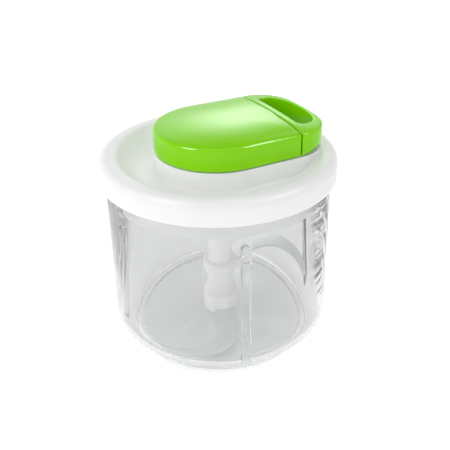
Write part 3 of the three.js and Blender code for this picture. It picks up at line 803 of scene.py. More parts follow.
@dataclass(frozen=True)
class CordFinish(Finish):
    """Braided cord, patterned along and round its UV map, with painted shade in the grooves between strands.
    """

    colour: Colour
    # Painted shade: the darker copy of the cord's colour that the grooves between strands take.
    groove_shade: Colour
    strands: float = 4.0
    roughness: float = 0.78
    fibre_share: float = 0.3
    bump_depth: float = 0.00012

    def paint(self, graph: Graph, shader: bpy.types.Node) -> None:
        """Plaits two sets of strands, paints shade into the grooves between them and roughens them with
        fibres.

        Args:
            graph: The material's graph.
            shader: Its Principled shader.
        """
        place = graph.add("UVMap", uv_map="UVMap").outputs[0]
        along, round_it, _ = graph.add("SeparateXYZ", Vector=place).outputs
        strands = [self._plait(graph, along, round_it, hand) for hand in (1.0, -1.0)]
        height = graph.math("MAXIMUM", *strands)
        fibre = graph.math("MULTIPLY", graph.noise(place, 90.0, 3.0), self.fibre_share)
        # The colour falls to the darker copy where the strands are lowest: painted shade in the grooves.
        graph.fill(
            shader, Base_Color=graph.mix(height, self.groove_shade, self.colour), Roughness=self.roughness,
            Normal=graph.bump(graph.math("ADD", height, fibre), self.bump_depth, 0.8),
        )

    def _plait(self, graph: Graph, along: Socket, round_it: Socket, hand: float) -> Socket:
        """One set of slanting strands.

        Args:
            graph: The graph that the nodes go into.
            along: The coordinate along the cord, in cord widths.
            round_it: The coordinate round the cord, from 0 to 1.
            hand: 1 or -1 for the way that the strands slant.

        Returns:
            A height that is highest on a strand's middle.
        """
        slant = graph.math("ADD", graph.math("MULTIPLY", round_it, hand * self.strands), along)
        wave = graph.math("SINE", graph.math("MULTIPLY", slant, FULL_TURN))
        return graph.math("POWER", graph.math("ABSOLUTE", wave), 0.7)


FINISHES: dict[Slot, Finish] = {
    Slot.CLEAR: ClearFinish("clear_bowl_plastic", (0.785, 0.79, 0.79), 0.015, 1.5),
    Slot.WHITE: PlasticFinish(
        "white_lid_plastic", (0.92, 0.92, 0.92), (0.895, 0.895, 0.898), 0.4, specular=0.3
    ),
    Slot.GREEN: PlasticFinish(
        "lime_plastic", (0.262, 0.73, 0.001), (0.247, 0.7, 0.0), 0.09, specular=0.24, grain=0.15, ripple=0.25
    ),
    Slot.COLUMN: PlasticFinish("column_plastic", (0.74, 0.74, 0.73), (0.7, 0.7, 0.69), 0.34),
    Slot.GREY: PlasticFinish("works_plastic", (0.34, 0.35, 0.36), (0.3, 0.31, 0.32), 0.42, grain=0.8),
    Slot.BLADE: SteelFinish("blade_steel", (0.64, 0.65, 0.66), 0.2),
    Slot.STEEL: SteelFinish("plain_steel", (0.58, 0.59, 0.6), 0.26),
    Slot.SILICONE: PlasticFinish("seal_silicone", (0.7, 0.71, 0.7), (0.66, 0.67, 0.66), 0.55, grain=1.0),
    Slot.CORD: CordFinish("white_braid", (0.8, 0.79, 0.75), (0.42, 0.41, 0.38)),
}


@dataclass
class Outline:
    """The plan outline of the plinth, the housing and the handle together, in millimetres."""

    tail_radius: float = 34.3
    nose_x: float = 33.2
    nose_y: float = 12.4
    nose_corner: float = 21.4
    nose_radius: float = 150.0
    samples: int = 192
    facing_count: int = 720

    def __post_init__(self) -> None:
        """Works out the nose's arc and the facing table that distances are measured with."""
        run = math.sqrt((self.nose_radius - self.nose_corner) ** 2 - self.nose_y**2)
        self.nose_centre = self.nose_x - run
        self.nose_half_turn = math.atan2(self.nose_y, run)
        turns = [FULL_TURN * i / self.facing_count for i in range(self.facing_count)]
        self.facings = [(math.cos(t), math.sin(t), self.support(t)) for t in turns]

    def circle(self, turn: float) -> tuple[float, float, float]:
        """The circle that bounds the outline where it faces one direction.

        Args:
            turn: The facing direction in radians.

        Returns:
            The circle's centre and radius.
        """
        facing = math.atan2(math.sin(turn), math.cos(turn))
        if abs(facing) < self.nose_half_turn:
            return self.nose_centre, 0.0, self.nose_radius
        circles = (
            (0.0, 0.0, self.tail_radius),
            (self.nose_x, self.nose_y, self.nose_corner),
            (self.nose_x, -self.nose_y, self.nose_corner),
        )
        return max(circles, key=lambda c: c[0] * math.cos(turn) + c[1] * math.sin(turn) + c[2])

    def support(self, turn: float) -> float:
        """How far the outline reaches in one direction, in radians, from the origin."""
        x, y, radius = self.circle(turn)
        return x * math.cos(turn) + y * math.sin(turn) + radius

    def inset_at(self, x: float, y: float) -> float:
        """How far inside the outline a point lies."""
        return min(reach - x * c - y * s for c, s, reach in self.facings)

    def ring(self, inset: float, height: float) -> Ring:
        """The outline drawn in by an inset, at a height.

        Args:
            inset: How far the ring lies inside the outline.
            height: The ring's height.

        Returns:
            The ring's points.
        """
        points = []
        for i in range(self.samples):
            turn = FULL_TURN * i / self.samples
            x, y, radius = self.circle(turn)
            reach = radius - inset
            points.append(Vector((x + reach * math.cos(turn), y + reach * math.sin(turn), height)))
        return points


@dataclass
class Camera:
    """The camera at the photograph's viewing angle, in millimetres and degrees."""

    azimuth: float = -26.5
    elevation: float = 28.95
    distance: float = 430.0
    aim_right: float = 3.41
    aim_height: float = 63.1
    roll: float = -0.99
    focal_share: float = 1.746
    frame_share: float = 430.0 / 450.0
    sensor: float = 36.0
    clip: tuple[float, float] = (0.01, 20.0)

    def build(self) -> bpy.types.Object:
        """Makes the camera.

        Returns:
            The camera's object.
        """
        back = direction(self.azimuth, self.elevation)
        right = direction(self.azimuth + 90, 0)
        aim = right * self.aim_right + Vector((0, 0, self.aim_height))
        data = bpy.data.cameras.new("camera")
        camera = bpy.data.objects.new("camera", data)
        bpy.context.scene.collection.objects.link(camera)
        data.sensor_width = self.sensor
        data.lens = self.focal_share * self.frame_share * self.sensor
        data.clip_start, data.clip_end = self.clip
        camera.location = (aim + back * self.distance) * MM
        camera.rotation_mode = "QUATERNION"
        rolled = Quaternion(back, math.radians(self.roll))
        camera.rotation_quaternion = rolled @ (-back).to_track_quat("-Z", "Y")
        bpy.context.scene.camera = camera
        return camera


@dataclass(frozen=True)
class Softbox:
    """One area light that looks at the object and shows only in reflections, in degrees and metres.

    The azimuth is 0 at -Y and 90 at +X. The brightness is the radiance of its face.
    """

    name: str
    azimuth: float
    elevation: float
    distance: float
    size: tuple[float, float]
    brightness: float
    aim_height: float = 0.08

    def build(self) -> None:
        """Makes the light."""
        back = direction(self.azimuth, self.elevation)
        data = bpy.data.lights.new(self.name, "AREA")
        data.shape, data.size, data.size_y = "RECTANGLE", *self.size
        data.energy = self.brightness * math.pi * self.size[0] * self.size[1]
        light = bpy.data.objects.new(self.name, data)
        bpy.context.scene.collection.objects.link(light)
        light.location = back * self.distance + Vector((0, 0, self.aim_height))
        light.rotation_mode = "QUATERNION"
        light.rotation_quaternion = (-back).to_track_quat("-Z", "Y")
        light.visible_diffuse = False
        light.visible_transmission = False


@dataclass
class Studio:
    """A pale floor under a sky that is bright low down and overhead and dim between, with a soft glow behind.

    A place is an azimuth and an elevation in degrees. A fade starts and ends at heights on a sky of radius 1.
    """

    floor_size: float = 8.0
    floor_colour: Colour = (0.9, 0.9, 0.9)
    floor_roughness: float = 0.7
    floor_specular: float = 0.1
    floor_glow: float = 0.34
    horizon: float = 0.84
    horizon_fade: tuple[float, float] = (0.45, 0.66)
    left_glow: float = 0.66
    left_place: tuple[float, float] = (-110.0, 15.0)
    left_spread: tuple[float, float] = (-0.2, 0.8)
    middle_sky: float = 0.22
    top_sky: float = 1.52
    top_fade: tuple[float, float] = (0.78, 0.92)
    back_place: tuple[float, float] = (151.5, 22.0)
    back_sharpness: float = 125.0
    back_glow: float = 3.9
    light_bounces: int = 24
    boxes: tuple[Softbox, ...] = (
        Softbox("key_left", -90, 50, 1.5, (0.5, 0.5), 22.0),
        Softbox("key_right", 52, 50, 1.5, (0.5, 0.5), 22.0),
    )

    def floor(self) -> None:
        """Makes the floor, which glows a little."""
        deselect()
        bpy.ops.mesh.primitive_plane_add(size=self.floor_size)
        floor = bpy.context.object
        floor.name = "floor"
        material, graph, shader = new_material("studio_floor")
        graph.fill(
            shader, Base_Color=(*self.floor_colour, 1), Roughness=self.floor_roughness,
            Specular_IOR_Level=self.floor_specular, Emission_Color=(1, 1, 1, 1),
            Emission_Strength=self.floor_glow,
        )
        floor.data.materials.append(material)

    def sky(self) -> None:
        """Makes the sky that lights the scene."""
        world = bpy.data.worlds.new("studio_sky")
        bpy.context.scene.world = world
        world.use_nodes = True
        graph = Graph(world.node_tree)
        way = graph.add("TexCoord").outputs["Generated"]
        height = graph.add("SeparateXYZ", Vector=way).outputs[2]
        left = graph.ramp(graph.facing(way, *self.left_place), *self.left_spread, 0.0, self.left_glow)
        fade = graph.ramp(height, *self.horizon_fade, 1.0, 0.0)
        low = graph.math("MULTIPLY", graph.math("ADD", left, self.horizon), fade)
        high = graph.ramp(height, *self.top_fade, self.middle_sky, self.top_sky)
        aside = graph.math("SUBTRACT", graph.facing(way, *self.back_place), 1.0)
        spot = graph.math("EXPONENT", graph.math("MULTIPLY", aside, self.back_sharpness))
        back = graph.math("MULTIPLY", spot, self.back_glow)
        light = graph.math("ADD", graph.math("MAXIMUM", low, high), back)
        graph.fill(world.node_tree.nodes["Background"], Color=(1, 1, 1, 1), Strength=light)

    def build(self) -> None:
        """Makes the floor, the sky and the lights; many bounces keep the clear bowl free of dark bands."""
        self.floor()
        self.sky()
        for box in self.boxes:
            box.build()
        scene = bpy.context.scene
        scene.view_settings.view_transform = "Standard"
        for kind in ("max_bounces", "glossy_bounces", "transmission_bounces"):
            setattr(scene.cycles, kind, self.light_bounces)


@dataclass
class Bowl:
    """The clear bowl with its foot, its ribs and the boss for the pivot pin, in millimetres."""

    radius: float = 61.8
    wall: float = 2.6
    height: float = 106.0
    corner: float = 13.5
    foot_height: float = 3.5
    foot_radius: float = 52.5
    foot_width: float = 4.0
    floor_thickness: float = 3.6
    rib_width: float = 4.9
    rib_depth: float = 3.0
    rib_top: float = 83.0
    rib_turn: float = -103.2
    rib_count: int = 4
    boss_foot_radius: float = 6.7
    boss_top_radius: float = 6.2
    boss_height: float = 14.0
    pin_radius: float = 3.0
    pin_length: float = 36.0
    pin_seat: float = 12.0
    groove_shade: float = 0.3
    foot_rounds: tuple[float, float, float] = (1.2, 0.9, 1.1)
    rim_round: float = 0.8
    boss_rounds: tuple[float, float, float] = (1.0, 0.6, 0.3)
    pin_rounds: tuple[float, float] = (0.4, 1.4)
    rib_edge: float = 0.7
    rib_top_share: float = 0.98
    rib_sink: float = 0.8
    turn_steps: int = 160
    arc_steps: int = 16

    def __post_init__(self) -> None:
        """Works out the heights that follow."""
        self.corner_r = self.radius - self.corner
        self.corner_z = self.foot_height + self.corner
        self.floor_z = self.corner_z - (self.corner - self.wall)
        self.under_z = self.floor_z - self.floor_thickness
        self.boss_top_z = self.floor_z + self.boss_height

    def shell(self) -> bpy.types.Object:
        """The turned bowl with its boss.

        Returns:
            The bowl's object without ribs.
        """
        inner = self.corner - self.wall
        foot_inner, wall_inner = self.foot_radius - self.foot_width, self.radius - self.wall
        foot_turn = -math.degrees(math.acos((self.foot_radius - self.corner_r) / self.corner))
        seat_z = self.boss_top_z - self.pin_seat
        bore = self.pin_radius + self.groove_shade / 2
        profile = [
            (0, self.under_z),
            *rounded([
                (0, self.under_z), (foot_inner, self.under_z, self.foot_rounds[0]),
                (foot_inner, 0, self.foot_rounds[1]), (self.foot_radius, 0, self.foot_rounds[2]),
                (self.foot_radius, self.foot_height),
            ], closed=False)[1:-1],
            *arc((self.corner_r, self.corner_z), self.corner, foot_turn, 0, self.arc_steps),
            *rounded([
                (self.radius, self.corner_z + 1), (self.radius, self.height, self.rim_round),
                (wall_inner, self.height, self.rim_round), (wall_inner, self.corner_z + 1),
            ], closed=False),
            *arc((self.corner_r, self.corner_z), inner, 0, -90, self.arc_steps),
            *rounded([
                (self.corner_r, self.floor_z), (self.boss_foot_radius, self.floor_z, self.boss_rounds[0]),
                (self.boss_top_radius, self.boss_top_z, self.boss_rounds[1]),
                (bore, self.boss_top_z, self.boss_rounds[2]), (bore, seat_z),
            ], closed=False)[1:],
            (0, seat_z),
        ]
        return spun("bowl", profile, self.turn_steps, closed=False)

    def rib(self, turn: float) -> bpy.types.Object:
        """One upright rib with a round top, blended into the wall.

        Args:
            turn: The rib's place round the bowl in degrees.

        Returns:
            The rib's object.
        """
        deselect()
        low, high = self.floor_z - self.rib_sink, self.rib_top
        inner = self.radius - self.wall - self.rib_depth
        outer = self.radius - self.wall / 2
        bpy.ops.mesh.primitive_cube_add(
            size=MM, location=((inner + outer) / 2 * MM, 0, (low + high) / 2 * MM),
            scale=(outer - inner, self.rib_width, high - low),
        )
        piece = bpy.context.object
        settle(piece)
        edit(piece)

        def tops(edge: bmesh.types.BMEdge) -> bool:
            """Whether an edge runs along the rib's top."""
            one, other = (v.co for v in edge.verts)
            return all(abs(co.z - high * MM) < NEAR for co in (one, other)) and abs(one.y - other.y) < NEAR

        def fronts(edge: bmesh.types.BMEdge) -> bool:
            """Whether an edge bounds the rib's front face."""
            at_front = all(abs(v.co.x - inner * MM) < NEAR for v in edge.verts)
            return at_front and sum(abs(f.normal.x) > 0.9 for f in edge.link_faces) == 1

        bevel_where(piece, tops, self.rib_width / 2 * self.rib_top_share, 12)
        bevel_where(piece, fronts, self.rib_edge, 3)
        close_edit(piece)
        piece.rotation_euler.z = math.radians(turn)
        settle(piece)
        return combine(piece, self.room(), "INTERSECT")

    def room(self) -> bpy.types.Object:
        """The bowl's outer form drawn in a little, which the ribs are trimmed to.

        Returns:
            A solid of the same height as the bowl.
        """
        skin = self.wall / 2
        profile = [
            (0, self.foot_height + skin), (self.corner_r, self.foot_height + skin),
            *arc((self.corner_r, self.corner_z), self.corner - skin, -90, 0, self.arc_steps)[1:],
            (self.radius - skin, self.height), (0, self.height),
        ]
        return spun("room", profile, self.turn_steps, closed=False)

    def pin(self) -> bpy.types.Object:
        """The steel pivot pin with its round end.

        Returns:
            The pin's object.
        """
        foot = self.boss_top_z - self.pin_seat + self.groove_shade
        top = foot + self.pin_length
        profile = rounded([
            (0, foot), (self.pin_radius, foot, self.pin_rounds[0]), (self.pin_radius, top, self.pin_rounds[1]),
            (0, top),
        ], closed=False)
        return spun("pivot_pin_round", profile, steps=48, closed=False)

    def build(self) -> None:
        """Makes the bowl and its pin."""
        bowl = self.shell()
        bowl.name = "bowl_clear"
        for number in range(self.rib_count):
            combine(bowl, self.rib(self.rib_turn + 360 * number / self.rib_count), "UNION")
        fitted(smooth(bowl, 40), Body.BOWL, Slot.CLEAR, "bowl")
        fitted(smooth(self.pin()), Body.BOWL, Slot.STEEL, "pivot_pin")


@dataclass
class BladeColumn:
    """The turning column with its three sickle blades, in millimetres and degrees."""

    hub_radius: float = 10.2
    hub_foot: float = 6.4
    hub_height: float = 14.0
    foot_bore: float = 7.3
    pin_bore: float = 3.3
    stem_foot: float = 7.6
    stem_top: float = 6.4
    stem_top_z: float = 83.9
    shoulder: float = 4.0
    collar_height: float = 7.0
    collar_bevel: float = 1.2
    head_across: float = 9.4
    head_top: float = 95.4
    boss_top: float = 20.1
    pin_top: float = 44.4
    blade_z: tuple[float, float, float] = (9.0, 33.0, 57.0)
    blade_names: tuple[str, str, str] = ("blade_lower", "blade_middle", "blade_upper")
    first_turn: float = -103.0
    turn_step: float = 120.0
    reach: float = 51.5
    sweep: float = 55.0
    root_width: float = 12.0
    tip_width: float = 1.6
    thickness: float = 1.0
    bury: float = 1.6
    ground_width: float = 2.6
    edge_thickness: float = 0.12
    ground_share: float = 0.6
    ground_start: float = 0.04
    ground_least: float = 0.05
    ground_ease: float = 9.0
    steps: int = 36
    hub_rounds: tuple[float, float, float, float] = (0.5, 0.8, 1.2, 1.0)
    collar_rounds: tuple[float, float, float] = (0.7, 0.5, 0.6)
    stem_top_round: float = 0.8
    head_edge: float = 0.5
    clearance: float = 0.6
    overlap: float = 1.0
    plug_radius: float = 4.0

    def spine(self, share: float) -> Vector:
        """A point of the blade's middle line, about its own turn.

        Args:
            share: How far along the blade, from 0 at its root to 1 at its tip.

        Returns:
            The point in plan.
        """
        root = self.hub_radius - self.bury
        radius = root + (self.reach - root) * math.sin(share * math.pi / 2)
        turn = -math.radians(self.sweep) * share**2
        return Vector((radius * math.cos(turn), radius * math.sin(turn), 0))

    def blade(self, number: int) -> bpy.types.Object:
        """One sickle blade, ground to an edge on its leading side.

        Args:
            number: The blade's number from the lowest.

        Returns:
            The blade's object.
        """
        rings = []
        for step in range(self.steps + 1):
            share = step / self.steps
            point = self.spine(share)
            nudge = 1 / (4 * self.steps)
            along = (self.spine(share + nudge) - self.spine(share - nudge)).normalized()
            front = Vector((-along.y, along.x, 0))
            width = self.root_width + (self.tip_width - self.root_width) * share**3
            fade = min(1.0, max(self.ground_least, (share - self.ground_start) * self.ground_ease))
            ground = min(self.ground_width, width * self.ground_share) * fade
            half, edge = self.thickness / 2, self.edge_thickness / 2
            across = [(-width / 2, half), (width / 2 - ground, half), (width / 2, edge)]
            loop = across + [(a, -h) for a, h in reversed(across)]
            rings.append([point + front * a + Vector((0, 0, h)) for a, h in loop])
        name = self.blade_names[number]
        piece = lofted(name + "_ground", rings)
        piece.rotation_euler.z = math.radians(self.first_turn + number * self.turn_step)
        piece.location.z = self.blade_z[number] * MM
        settle(piece)
        return piece

    def stem(self) -> bpy.types.Object:
        """The column's turned body with a collar for each upper blade and its hexagonal head.

        Returns:
            The column's object.
        """
        hub_top = self.hub_foot + self.hub_height
        corners: list[tuple[float, ...]] = [
            (self.foot_bore, self.hub_foot), (self.hub_radius, self.hub_foot),
            (self.hub_radius, hub_top - self.shoulder), (self.stem_foot, hub_top),
        ]
        corners = [(*corner, rounding) for corner, rounding in zip(corners, self.hub_rounds)]
        at_stem, at_rim, at_bevel = self.collar_rounds
        run = self.stem_top_z - hub_top
        for height in self.blade_z[1:]:
            for side in (-1, 1):
                z = height + side * self.collar_height / 2
                narrow = self.stem_foot + (self.stem_top - self.stem_foot) * (z - hub_top) / run
                bevel = (self.hub_radius, z - side * self.collar_bevel, at_bevel)
                foot = [(narrow, z, at_stem), (self.hub_radius - self.collar_bevel, z, at_rim), bevel]
                corners += foot if side < 0 else foot[::-1]
        corners += [
            (self.stem_top, self.stem_top_z, self.stem_top_round), (self.pin_bore, self.stem_top_z),
            (self.pin_bore, self.boss_top + self.clearance), (self.foot_bore, self.boss_top + self.clearance),
        ]
        body = spun("blade_column_moulded", rounded(corners, steps=4), steps=96)
        low, high = self.pin_top + self.clearance, self.stem_top_z - self.overlap
        plug = rod("column_plug", Vector((0, 0, low)), Vector((0, 0, high)), self.plug_radius)
        combine(body, plug, "UNION")
        return combine(body, self.head(), "UNION")

    def head(self) -> bpy.types.Object:
        """The hexagonal head that enters the coupler.

        Returns:
            The head's object.
        """
        low = self.stem_top_z - self.overlap
        corner = self.head_across / 2 / math.cos(math.pi / 6)
        deselect()
        bpy.ops.mesh.primitive_cylinder_add(
            vertices=6, radius=corner * MM, depth=(self.head_top - low) * MM,
            location=(0, 0, (self.head_top + low) / 2 * MM), rotation=(0, 0, math.pi / 6),
        )
        piece = bpy.context.object
        settle(piece)
        edit(piece)
        near_top = (self.head_top - self.overlap) * MM
        bevel_where(piece, lambda edge: any(v.co.z > near_top for v in edge.verts), self.head_edge, 3)
        close_edit(piece)
        return piece

    def build(self) -> None:
        """Makes the column and its blades."""
        fitted(smooth(self.stem(), 35), Body.BLADES, Slot.COLUMN, "blade_column")
        for number, name in enumerate(self.blade_names):
            fitted(smooth(self.blade(number), 20), Body.BLADES, Slot.BLADE, name)


@dataclass
class Lid:
    """The white lid cover with its plinth, the inner lid and the seal, in millimetres."""

    outline: Outline
    radius: float = 65.0
    skirt_edge: float = 97.3
    crest_z: float = 110.5
    crest_round: float = 5.2
    crest_turn: float = 84.0
    flank_top: tuple[float, float] = (53.0, 108.2)
    dish_z: float = 100.5
    dish_radius: float = 39.0
    wall: float = 2.4
    skirt_wall: float = 2.5
    channel_z: float = 106.3
    channel_step: float = 0.5
    plinth_top: float = 111.4
    plinth_wall: float = 2.4
    foot_round: float = 1.6
    seam_x: float = 32.0
    drive_hole: float = 9.5
    flank_steps: int = 24
    plug_radius: float = 58.6
    plug_edge: float = 87.2
    plug_wall: float = 2.2
    plug_top: float = 106.0
    collar_bore: float = 9.6
    collar_wall: float = 2.0
    collar_top: float = 97.0
    seal_top: float = 101.7
    seal_height: float = 2.4
    seal_depth: float = 1.3
    seal_gap: float = 0.3
    seal_lip: float = 0.8
    seal_waist: float = 0.6
    bowl_inner: float = 59.2
    edge_round: float = 0.5
    skirt_run: float = 4.0
    crest_steps: int = 14
    crest_points: int = 12
    crest_reach: float = 0.45
    crest_lean: float = 0.8
    plinth_sink: float = 0.4
    foot_steps: int = 6
    edge_steps: int = 4
    turn_steps: int = 160

    def flank(self, drop: float) -> Profile:
        """The dished flank from the dish's edge to the crest.

        Args:
            drop: How far below the top surface the flank lies.

        Returns:
            The flank's points from the dish outwards.
        """
        top_r, top_z = self.flank_top
        curve = (top_z - self.dish_z) / (top_r - self.dish_radius) ** 2
        points = []
        for i in range(self.flank_steps + 1):
            radius = self.dish_radius + (top_r - self.dish_radius) * i / self.flank_steps
            points.append((radius, self.dish_z - drop + curve * (radius - self.dish_radius) ** 2))
        return points

    def crown(self) -> bpy.types.Object:
        """The turned shell of the lid cover.

        Returns:
            The shell's object.
        """
        crest_r = self.radius - self.crest_round
        under = [point for point in self.flank(self.wall) if point[1] < self.channel_z]
        inner_r = self.radius - self.skirt_wall
        top = self.flank(0)
        centre = (crest_r, self.crest_z - self.crest_round)
        wall = arc(centre, self.crest_round, 0, self.crest_turn, self.crest_steps)
        low, high = self.skirt_edge, self.skirt_edge + self.skirt_run
        profile = [
            *rounded([
                (inner_r, high), (inner_r, low, self.edge_round), (self.radius, low, self.edge_round),
                (self.radius, high),
            ], closed=False),
            *wall,
            *self.crest(wall[-1], top[-1], top[-2]),
            *top[::-1],
            (self.drive_hole, self.dish_z), (self.drive_hole, self.dish_z - self.wall),
            *under,
            (under[-1][0] + self.channel_step, self.channel_z), (inner_r, self.channel_z),
        ]
        return spun("lid_cover_shell", profile, steps=192)

    def crest(
        self, wall: tuple[float, float], flank: tuple[float, float], below: tuple[float, float]
    ) -> Profile:
        """The crest's nearly level top, from the rounded wall down onto the flank.

        Args:
            wall: The outer wall's highest point.
            flank: The flank's highest point.
            below: The flank's next point, which gives its slope.

        Returns:
            The points between the wall and the flank.
        """
        start, end = Vector(wall), Vector(flank)
        slope = (Vector(below) - end).normalized()
        reach = (start - end).length * self.crest_reach
        first, last = start - Vector((reach, 0)), end - slope * reach * self.crest_lean
        points = []
        for i in range(1, self.crest_points):
            t = i / self.crest_points
            a, b, c, d = (1 - t) ** 3, 3 * t * (1 - t) ** 2, 3 * t * t * (1 - t), t**3
            points.append(tuple(start * a + first * b + last * c + end * d))
        return points

    def plinth(self) -> bpy.types.Object:
        """The raised plinth with a rounded foot and an open well for the works.

        Returns:
            The plinth's object.
        """
        low, high, edge = self.dish_z - self.wall + self.plinth_sink, self.plinth_top, self.edge_round
        rings = [self.outline.ring(-self.foot_round, height) for height in (low, self.dish_z)]
        for i in range(1, self.foot_steps + 1):
            turn = i / self.foot_steps * math.pi / 2
            inset = -self.foot_round * (1 - math.sin(turn))
            rings.append(self.outline.ring(inset, self.dish_z + self.foot_round * (1 - math.cos(turn))))
        for i in range(self.edge_steps + 1):
            turn = i / self.edge_steps * math.pi / 2
            rings.append(self.outline.ring(edge * (1 - math.cos(turn)), high - edge + edge * math.sin(turn)))
        block = lofted("plinth", rings)
        heights = (self.dish_z, self.crest_z * 2)
        well = lofted("well", [self.outline.ring(self.plinth_wall, height) for height in heights])
        cut_at(well, self.seam_x - self.plinth_wall, keep_plus=False)
        combine(block, well, "DIFFERENCE")
        shaft = rod("drive", Vector((0, 0, 0)), Vector((0, 0, self.crest_z)), self.drive_hole, 96)
        return combine(block, shaft, "DIFFERENCE")

    def cover(self) -> bpy.types.Object:
        """The whole lid cover.

        Returns:
            The cover's object.
        """
        cover = combine(self.crown(), self.plinth(), "UNION")
        cover.name = "lid_cover_white"
        return cover

    def inner(self) -> bpy.types.Object:
        """The inner lid: a shallow plug with a neck for the coupler.

        Returns:
            The inner lid's object.
        """
        groove, above = self.seal_top - self.seal_height - self.seal_gap, self.seal_top + self.seal_gap
        deep = self.plug_radius - self.seal_depth
        top = self.plug_edge + self.plug_wall
        inner, neck = self.plug_radius - self.plug_wall, self.collar_bore + self.collar_wall
        profile = rounded([
            (self.collar_bore, self.plug_edge, 0.5), (self.plug_radius, self.plug_edge, 1.2),
            (self.plug_radius, groove, 0.3), (deep, groove, 0.2), (deep, above, 0.2),
            (self.plug_radius, above, 0.3), (self.plug_radius, self.plug_top, 0.5),
            (inner, self.plug_top, 0.5), (inner, top, 1.0), (neck, top, 0.8), (neck, self.collar_top, 0.4),
            (self.collar_bore, self.collar_top, 0.4),
        ])
        return spun("inner_lid_white", profile, self.turn_steps)

    def seal(self) -> bpy.types.Object:
        """The silicone seal with two soft lips.

        Returns:
            The seal's object.
        """
        inner = self.plug_radius - self.seal_depth + self.seal_gap
        outer = self.bowl_inner - self.seal_gap
        low, high = self.seal_top - self.seal_height, self.seal_top
        profile = rounded([
            (inner, low, 0.3), (outer, low, 0.4), (outer, low + self.seal_lip, 0.3),
            (outer - self.seal_waist, (low + high) / 2, 0.2), (outer, high - self.seal_lip, 0.3),
            (outer, high, 0.4), (inner, high, 0.3),
        ])
        return spun("seal_ring_lipped", profile, self.turn_steps)

    def build(self) -> None:
        """Makes the lid's three large pieces."""
        fitted(smooth(self.cover(), 35), Body.LID, Slot.WHITE, "lid_cover")
        fitted(smooth(self.inner(), 35), Body.LID, Slot.WHITE, "inner_lid")
        fitted(smooth(self.seal(), 40), Body.LID, Slot.SILICONE, "seal_ring")


def cut_at(piece: bpy.types.Object, x: float, keep_plus: bool) -> None:
    """Cuts a piece by a plane across X and closes the cut.

    Args:
        piece: The piece to cut.
        x: The plane's place in millimetres.
        keep_plus: Whether the side towards +X stays.
    """
    edit(piece)
    bpy.ops.mesh.select_all(action="SELECT")
    bpy.ops.mesh.bisect(
        plane_co=(x * MM, 0, 0), plane_no=(1, 0, 0), use_fill=True, clear_inner=keep_plus,
        clear_outer=not keep_plus,
    )
    close_edit(piece)


@dataclass
class Crown:
    """The domed form that the housing and the handle share, in millimetres."""

    outline: Outline
    foot: float = 111.95
    foot_round: float = 0.6
    top: float = 124.5
    edge_round: float = 1.05
    edge_fullness: float = 1.3
    rise: float = 2.45
    fullness: float = 2.3
    centre_x: float = 9.0
    edge_steps: int = 8
    steps: int = 14
    last_share: float = 0.98

    def __post_init__(self) -> None:
        """Works out how far the dome reaches in each direction from its middle."""
        middle = Vector((self.centre_x, 0, 0))
        edge = [point - middle for point in self.outline.ring(self.edge_round, 0)]
        self.rim = sorted((math.atan2(p.y, p.x), math.hypot(p.y, p.x)) for p in edge)

    def edge_height(self, inset: float) -> float:
        """The softly bevelled edge's height at a distance inside the outline."""
        run = 1 - min(max(inset / self.edge_round, 0.0), 1.0)
        rise = (1 - run**self.edge_fullness) ** (1 / self.edge_fullness)
        return self.top - self.edge_round * (1 - rise)

    def dome_height(self, share: float) -> float:
        """The dome's height at a share of the way from its middle to its edge."""
        return self.top + self.rise * (1 - share**self.fullness)

    def height(self, x: float, y: float) -> float:
        """The top surface's height at a place in plan.

        Args:
            x: The place along the pull direction.
            y: The place across it.

        Returns:
            The height.
        """
        inset = self.outline.inset_at(x, y)
        if inset < self.edge_round:
            return self.edge_height(inset)
        turn = math.atan2(y, x - self.centre_x)
        after = bisect.bisect(self.rim, (turn, 0.0)) % len(self.rim)
        (turn_a, reach_a), (turn_b, reach_b) = self.rim[after - 1], self.rim[after]
        share = ((turn - turn_a) % FULL_TURN) / ((turn_b - turn_a) % FULL_TURN)
        reach = reach_a + (reach_b - reach_a) * share
        return self.dome_height(min(1.0, math.hypot(y, x - self.centre_x) / reach))

    def block(self, name: str, inset: float, foot: float) -> bpy.types.Object:
        """The whole domed block, drawn in by an inset.

        Args:
            name: The new object's name.
            inset: How far the block lies inside the full one, also at its top.
            foot: The block's lowest height.

        Returns:
            The block's object.
        """
        lip = self.foot_round
        rings = [self.outline.ring(inset + lip, foot), self.outline.ring(inset, foot + lip)]
        for reach in spread(self.edge_round, self.edge_steps):
            rings.append(self.outline.ring(inset + reach, self.edge_height(reach) - inset))
        edge, middle = rings[-1], Vector((self.centre_x, 0, 0))
        for i in range(1, self.steps + 1):
            share = 1 - self.last_share * i / self.steps
            height = self.dome_height(share) - inset
            rings.append([Vector((*middle.lerp(point, share).xy, height)) for point in edge])
        return lofted(name, rings)


